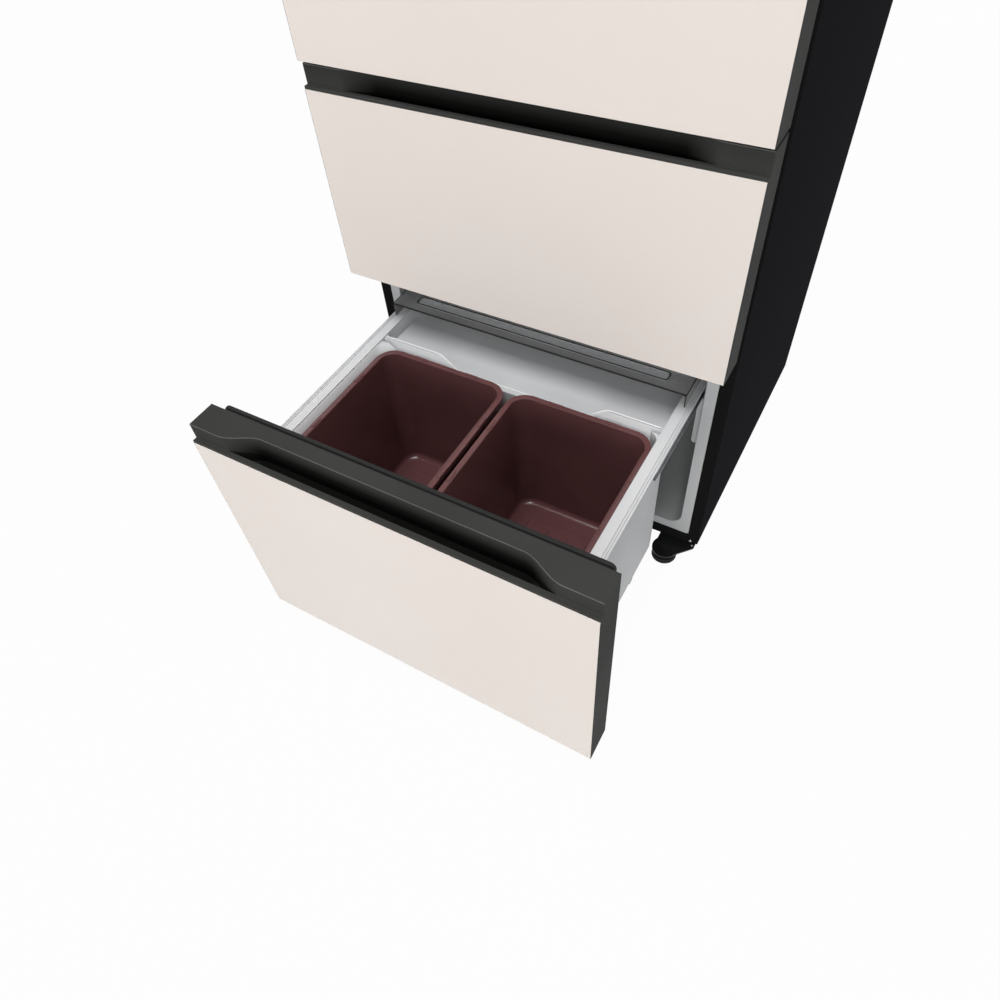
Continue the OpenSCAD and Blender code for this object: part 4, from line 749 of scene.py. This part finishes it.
hoods = Shape()
for x in (-195.5, 40):
    for i in range(9):
        z = 90 + 20 * i
        section = ((676.9, z + 7.4), (676.9, z + 8.4), (670, z - 0.4), (670, z - 1.4))
        hoods.loft([[(x + dx, y, h) for y, h in section] for dx in (1, 229)])
piece("louvre_hoods", hoods, FINISHES["cabinet_paint"], "cabinet", angle=20)

pins = Shape()
for x, z in ((-270, 272), (-261, 272), (-265.5, 279)):
    pins.turned((x, 659.5, z), (0, 1, 0), [(1.6, 0), (1.6, 12), (1.1, 13.4), (0.2, 13.8)], 20)
piece("inlet_pins", pins, screw_steel, "cabinet")

can = Shape().hoop((CAN_X, CAN_Y, CAN_Z + 66), (0, 0, 1), 78.4, 1.6, 72)
for z in (50, 62, 74, 86):
    middle = CAN_Z + z
    can.plate("xy", (CAN_X + 100, CAN_Y - 26), (CAN_X + 109, CAN_Y + 26), middle - 1.4, middle + 1.4, 1, 0.5)
piece("compressor_seam", can, FINISHES["black_plastic"], "cabinet")

bolts = Shape()
for x in (-86, 86):
    for y in (-48, 48):
        bolts.turned((CAN_X + x, CAN_Y + y, 50), (0, 0, 1), [(9, 0), (9, 1.4), (8.6, 1.6), (0, 1.6)])
        hexagon = [(5.4, 0), (5.8, 0.4), (5.8, 3.4), (4.8, 4.2)]
        bolts.turned((CAN_X + x, CAN_Y + y, 51.6), (0, 0, 1), hexagon, 6)
piece("compressor_bolts", bolts, screw_steel, "cabinet", angle=25)

BEND_R, PIPE_Y = 30, CAN_Y - 30
quarter = [math.pi / 2 * i / 12 for i in range(13)]
bend = [(CAN_X - 40 - BEND_R * (1 - math.cos(t)), PIPE_Y, 186 + BEND_R * math.sin(t)) for t in quarter]
copper_work = Shape().tube(bend + [(CAN_X - 90, PIPE_Y, 186 + BEND_R)], 3, 14)
cap = [(11.2, -3), (11.2, 0), (8, 5), (4.4, 9), (3.6, 14)]
for x, way in ((0, -1), (90, 1)):
    copper_work.turned((x, 463, 312), (way, 0, 0), cap, 24)
piece("drier_caps", copper_work, FINISHES["tube_copper"], "cabinet")

guard = Shape()
for radius in (22, 38, 54, 70):
    guard.hoop((FAN_X, FAN_Y, FAN_Z), (0, 1, 0), radius, 1.2)
for i in range(8):
    turn = math.pi * i / 4
    u, v = math.cos(turn), math.sin(turn)
    guard.tube([(FAN_X + r * u, FAN_Y, FAN_Z + r * v) for r in (8, 71)], 1.3, 8)
guard.turned((FAN_X, FAN_Y - 1.4, FAN_Z), (0, 1, 0), [(20, 0), (20, 6), (18, 9), (0, 9.4)], 32)
piece("condenser_fan_guard", guard, FINISHES["black_plastic"], "cabinet")

# ---- Camera, light and floor ---------------------------------------------------------------

# place in metres; azimuth, elevation and roll in degrees; focal length in mm
CAMERA_PLACE, CAMERA_TURNS, LENS = (0.5174, -0.99485, 1.3171), (34.25, 50.95, -5.96), 27.40
azimuth, elevation, roll = (math.radians(turn) for turn in CAMERA_TURNS)
forward = Vector((-math.sin(azimuth) * math.cos(elevation), math.cos(azimuth) * math.cos(elevation),
                  -math.sin(elevation)))
right = Vector((math.cos(azimuth), math.sin(azimuth), 0))
up = right.cross(forward)
right, up = right * math.cos(roll) + up * math.sin(roll), up * math.cos(roll) - right * math.sin(roll)
lens = bpy.data.cameras.new("camera")
lens.lens = LENS
lens.sensor_width = 36
lens.clip_start = 0.05
camera = bpy.data.objects.new("camera", lens)
turned = Matrix((right, up, -forward)).transposed().to_4x4()
camera.matrix_world = Matrix.Translation(CAMERA_PLACE) @ turned
bpy.context.scene.collection.objects.link(camera)
bpy.context.scene.camera = camera


# light of the world on surfaces, the floor's own tone, and its white share as the camera sees it
WORLD_LIGHT, FLOOR_TONE, FLOOR_GLOW = 0.4, 0.45, 0.97


def seen_directly(tree):
    """1 for what the camera sees, also through glass and in gloss."""
    path = tree.nodes.new("ShaderNodeLightPath")
    total = path.outputs["Is Camera Ray"]
    for name in ("Is Glossy Ray", "Is Transmission Ray"):
        add = tree.nodes.new("ShaderNodeMath")
        add.operation = "ADD"
        add.use_clamp = True
        tree.links.new(total, add.inputs[0])
        tree.links.new(path.outputs[name], add.inputs[1])
        total = add.outputs[0]
    return total


world = bpy.data.worlds.new("studio")
bpy.context.scene.world = world
world.use_nodes = True
sky = world.node_tree.nodes["Background"]
sky.inputs["Color"].default_value = (1, 1, 1, 1)
level = world.node_tree.nodes.new("ShaderNodeMapRange")
level.inputs["To Min"].default_value = WORLD_LIGHT
level.inputs["To Max"].default_value = 1.0
world.node_tree.links.new(seen_directly(world.node_tree), level.inputs["Value"])
world.node_tree.links.new(level.outputs["Result"], sky.inputs["Strength"])


def soft_lamp(name, place, aim, size, power):
    data = bpy.data.lights.new(name, "AREA")
    data.shape = "DISK"
    data.size = size
    data.energy = power
    made = bpy.data.objects.new(name, data)
    made.location = place
    made.rotation_euler = (Vector(aim) - Vector(place)).to_track_quat("-Z", "Y").to_euler()
    bpy.context.scene.collection.objects.link(made)


soft_lamp("key", (2.0, -6.8, 2.3), (0, -0.2, 0.9), 2.6, 226)
soft_lamp("top", (0.0, -1.6, 6.4), (0, -0.3, 0.4), 2.6, 225)
soft_lamp("fill", (-3.6, -2.4, 1.6), (0, 0.1, 0.7), 2.4, 15)
soft_lamp("back", (0.5, 4.6, 2.6), (0, 0.2, 0.8), 2.4, 60)

ground = bpy.data.meshes.new("floor")
ground.from_pydata([(-25, -25, 0), (25, -25, 0), (25, 25, 0), (-25, 25, 0)], [], [(0, 1, 2, 3)])
floor = bpy.data.objects.new("floor", ground)
floor.location.z = -0.0005
bpy.context.scene.collection.objects.link(floor)
pale = bpy.data.materials.new("pale_floor")
pale.use_nodes = True
tree = pale.node_tree
ground_shader = tree.nodes["Principled BSDF"]
ground_shader.inputs["Base Color"].default_value = (FLOOR_TONE, FLOOR_TONE, FLOOR_TONE, 1)
ground_shader.inputs["Roughness"].default_value = 0.9
ground_shader.inputs["Specular IOR Level"].default_value = 0.0
glow = tree.nodes.new("ShaderNodeEmission")
glow.inputs["Strength"].default_value = 1.0
join = tree.nodes.new("ShaderNodeMixShader")
share = tree.nodes.new("ShaderNodeMapRange")
share.inputs["To Max"].default_value = FLOOR_GLOW
tree.links.new(seen_directly(tree), share.inputs["Value"])
tree.links.new(share.outputs["Result"], join.inputs[0])
tree.links.new(ground_shader.outputs[0], join.inputs[1])
tree.links.new(glow.outputs[0], join.inputs[2])
tree.links.new(join.outputs[0], tree.nodes["Material Output"].inputs["Surface"])
ground.materials.append(pale)

bpy.context.scene.view_settings.view_transform = "Standard"
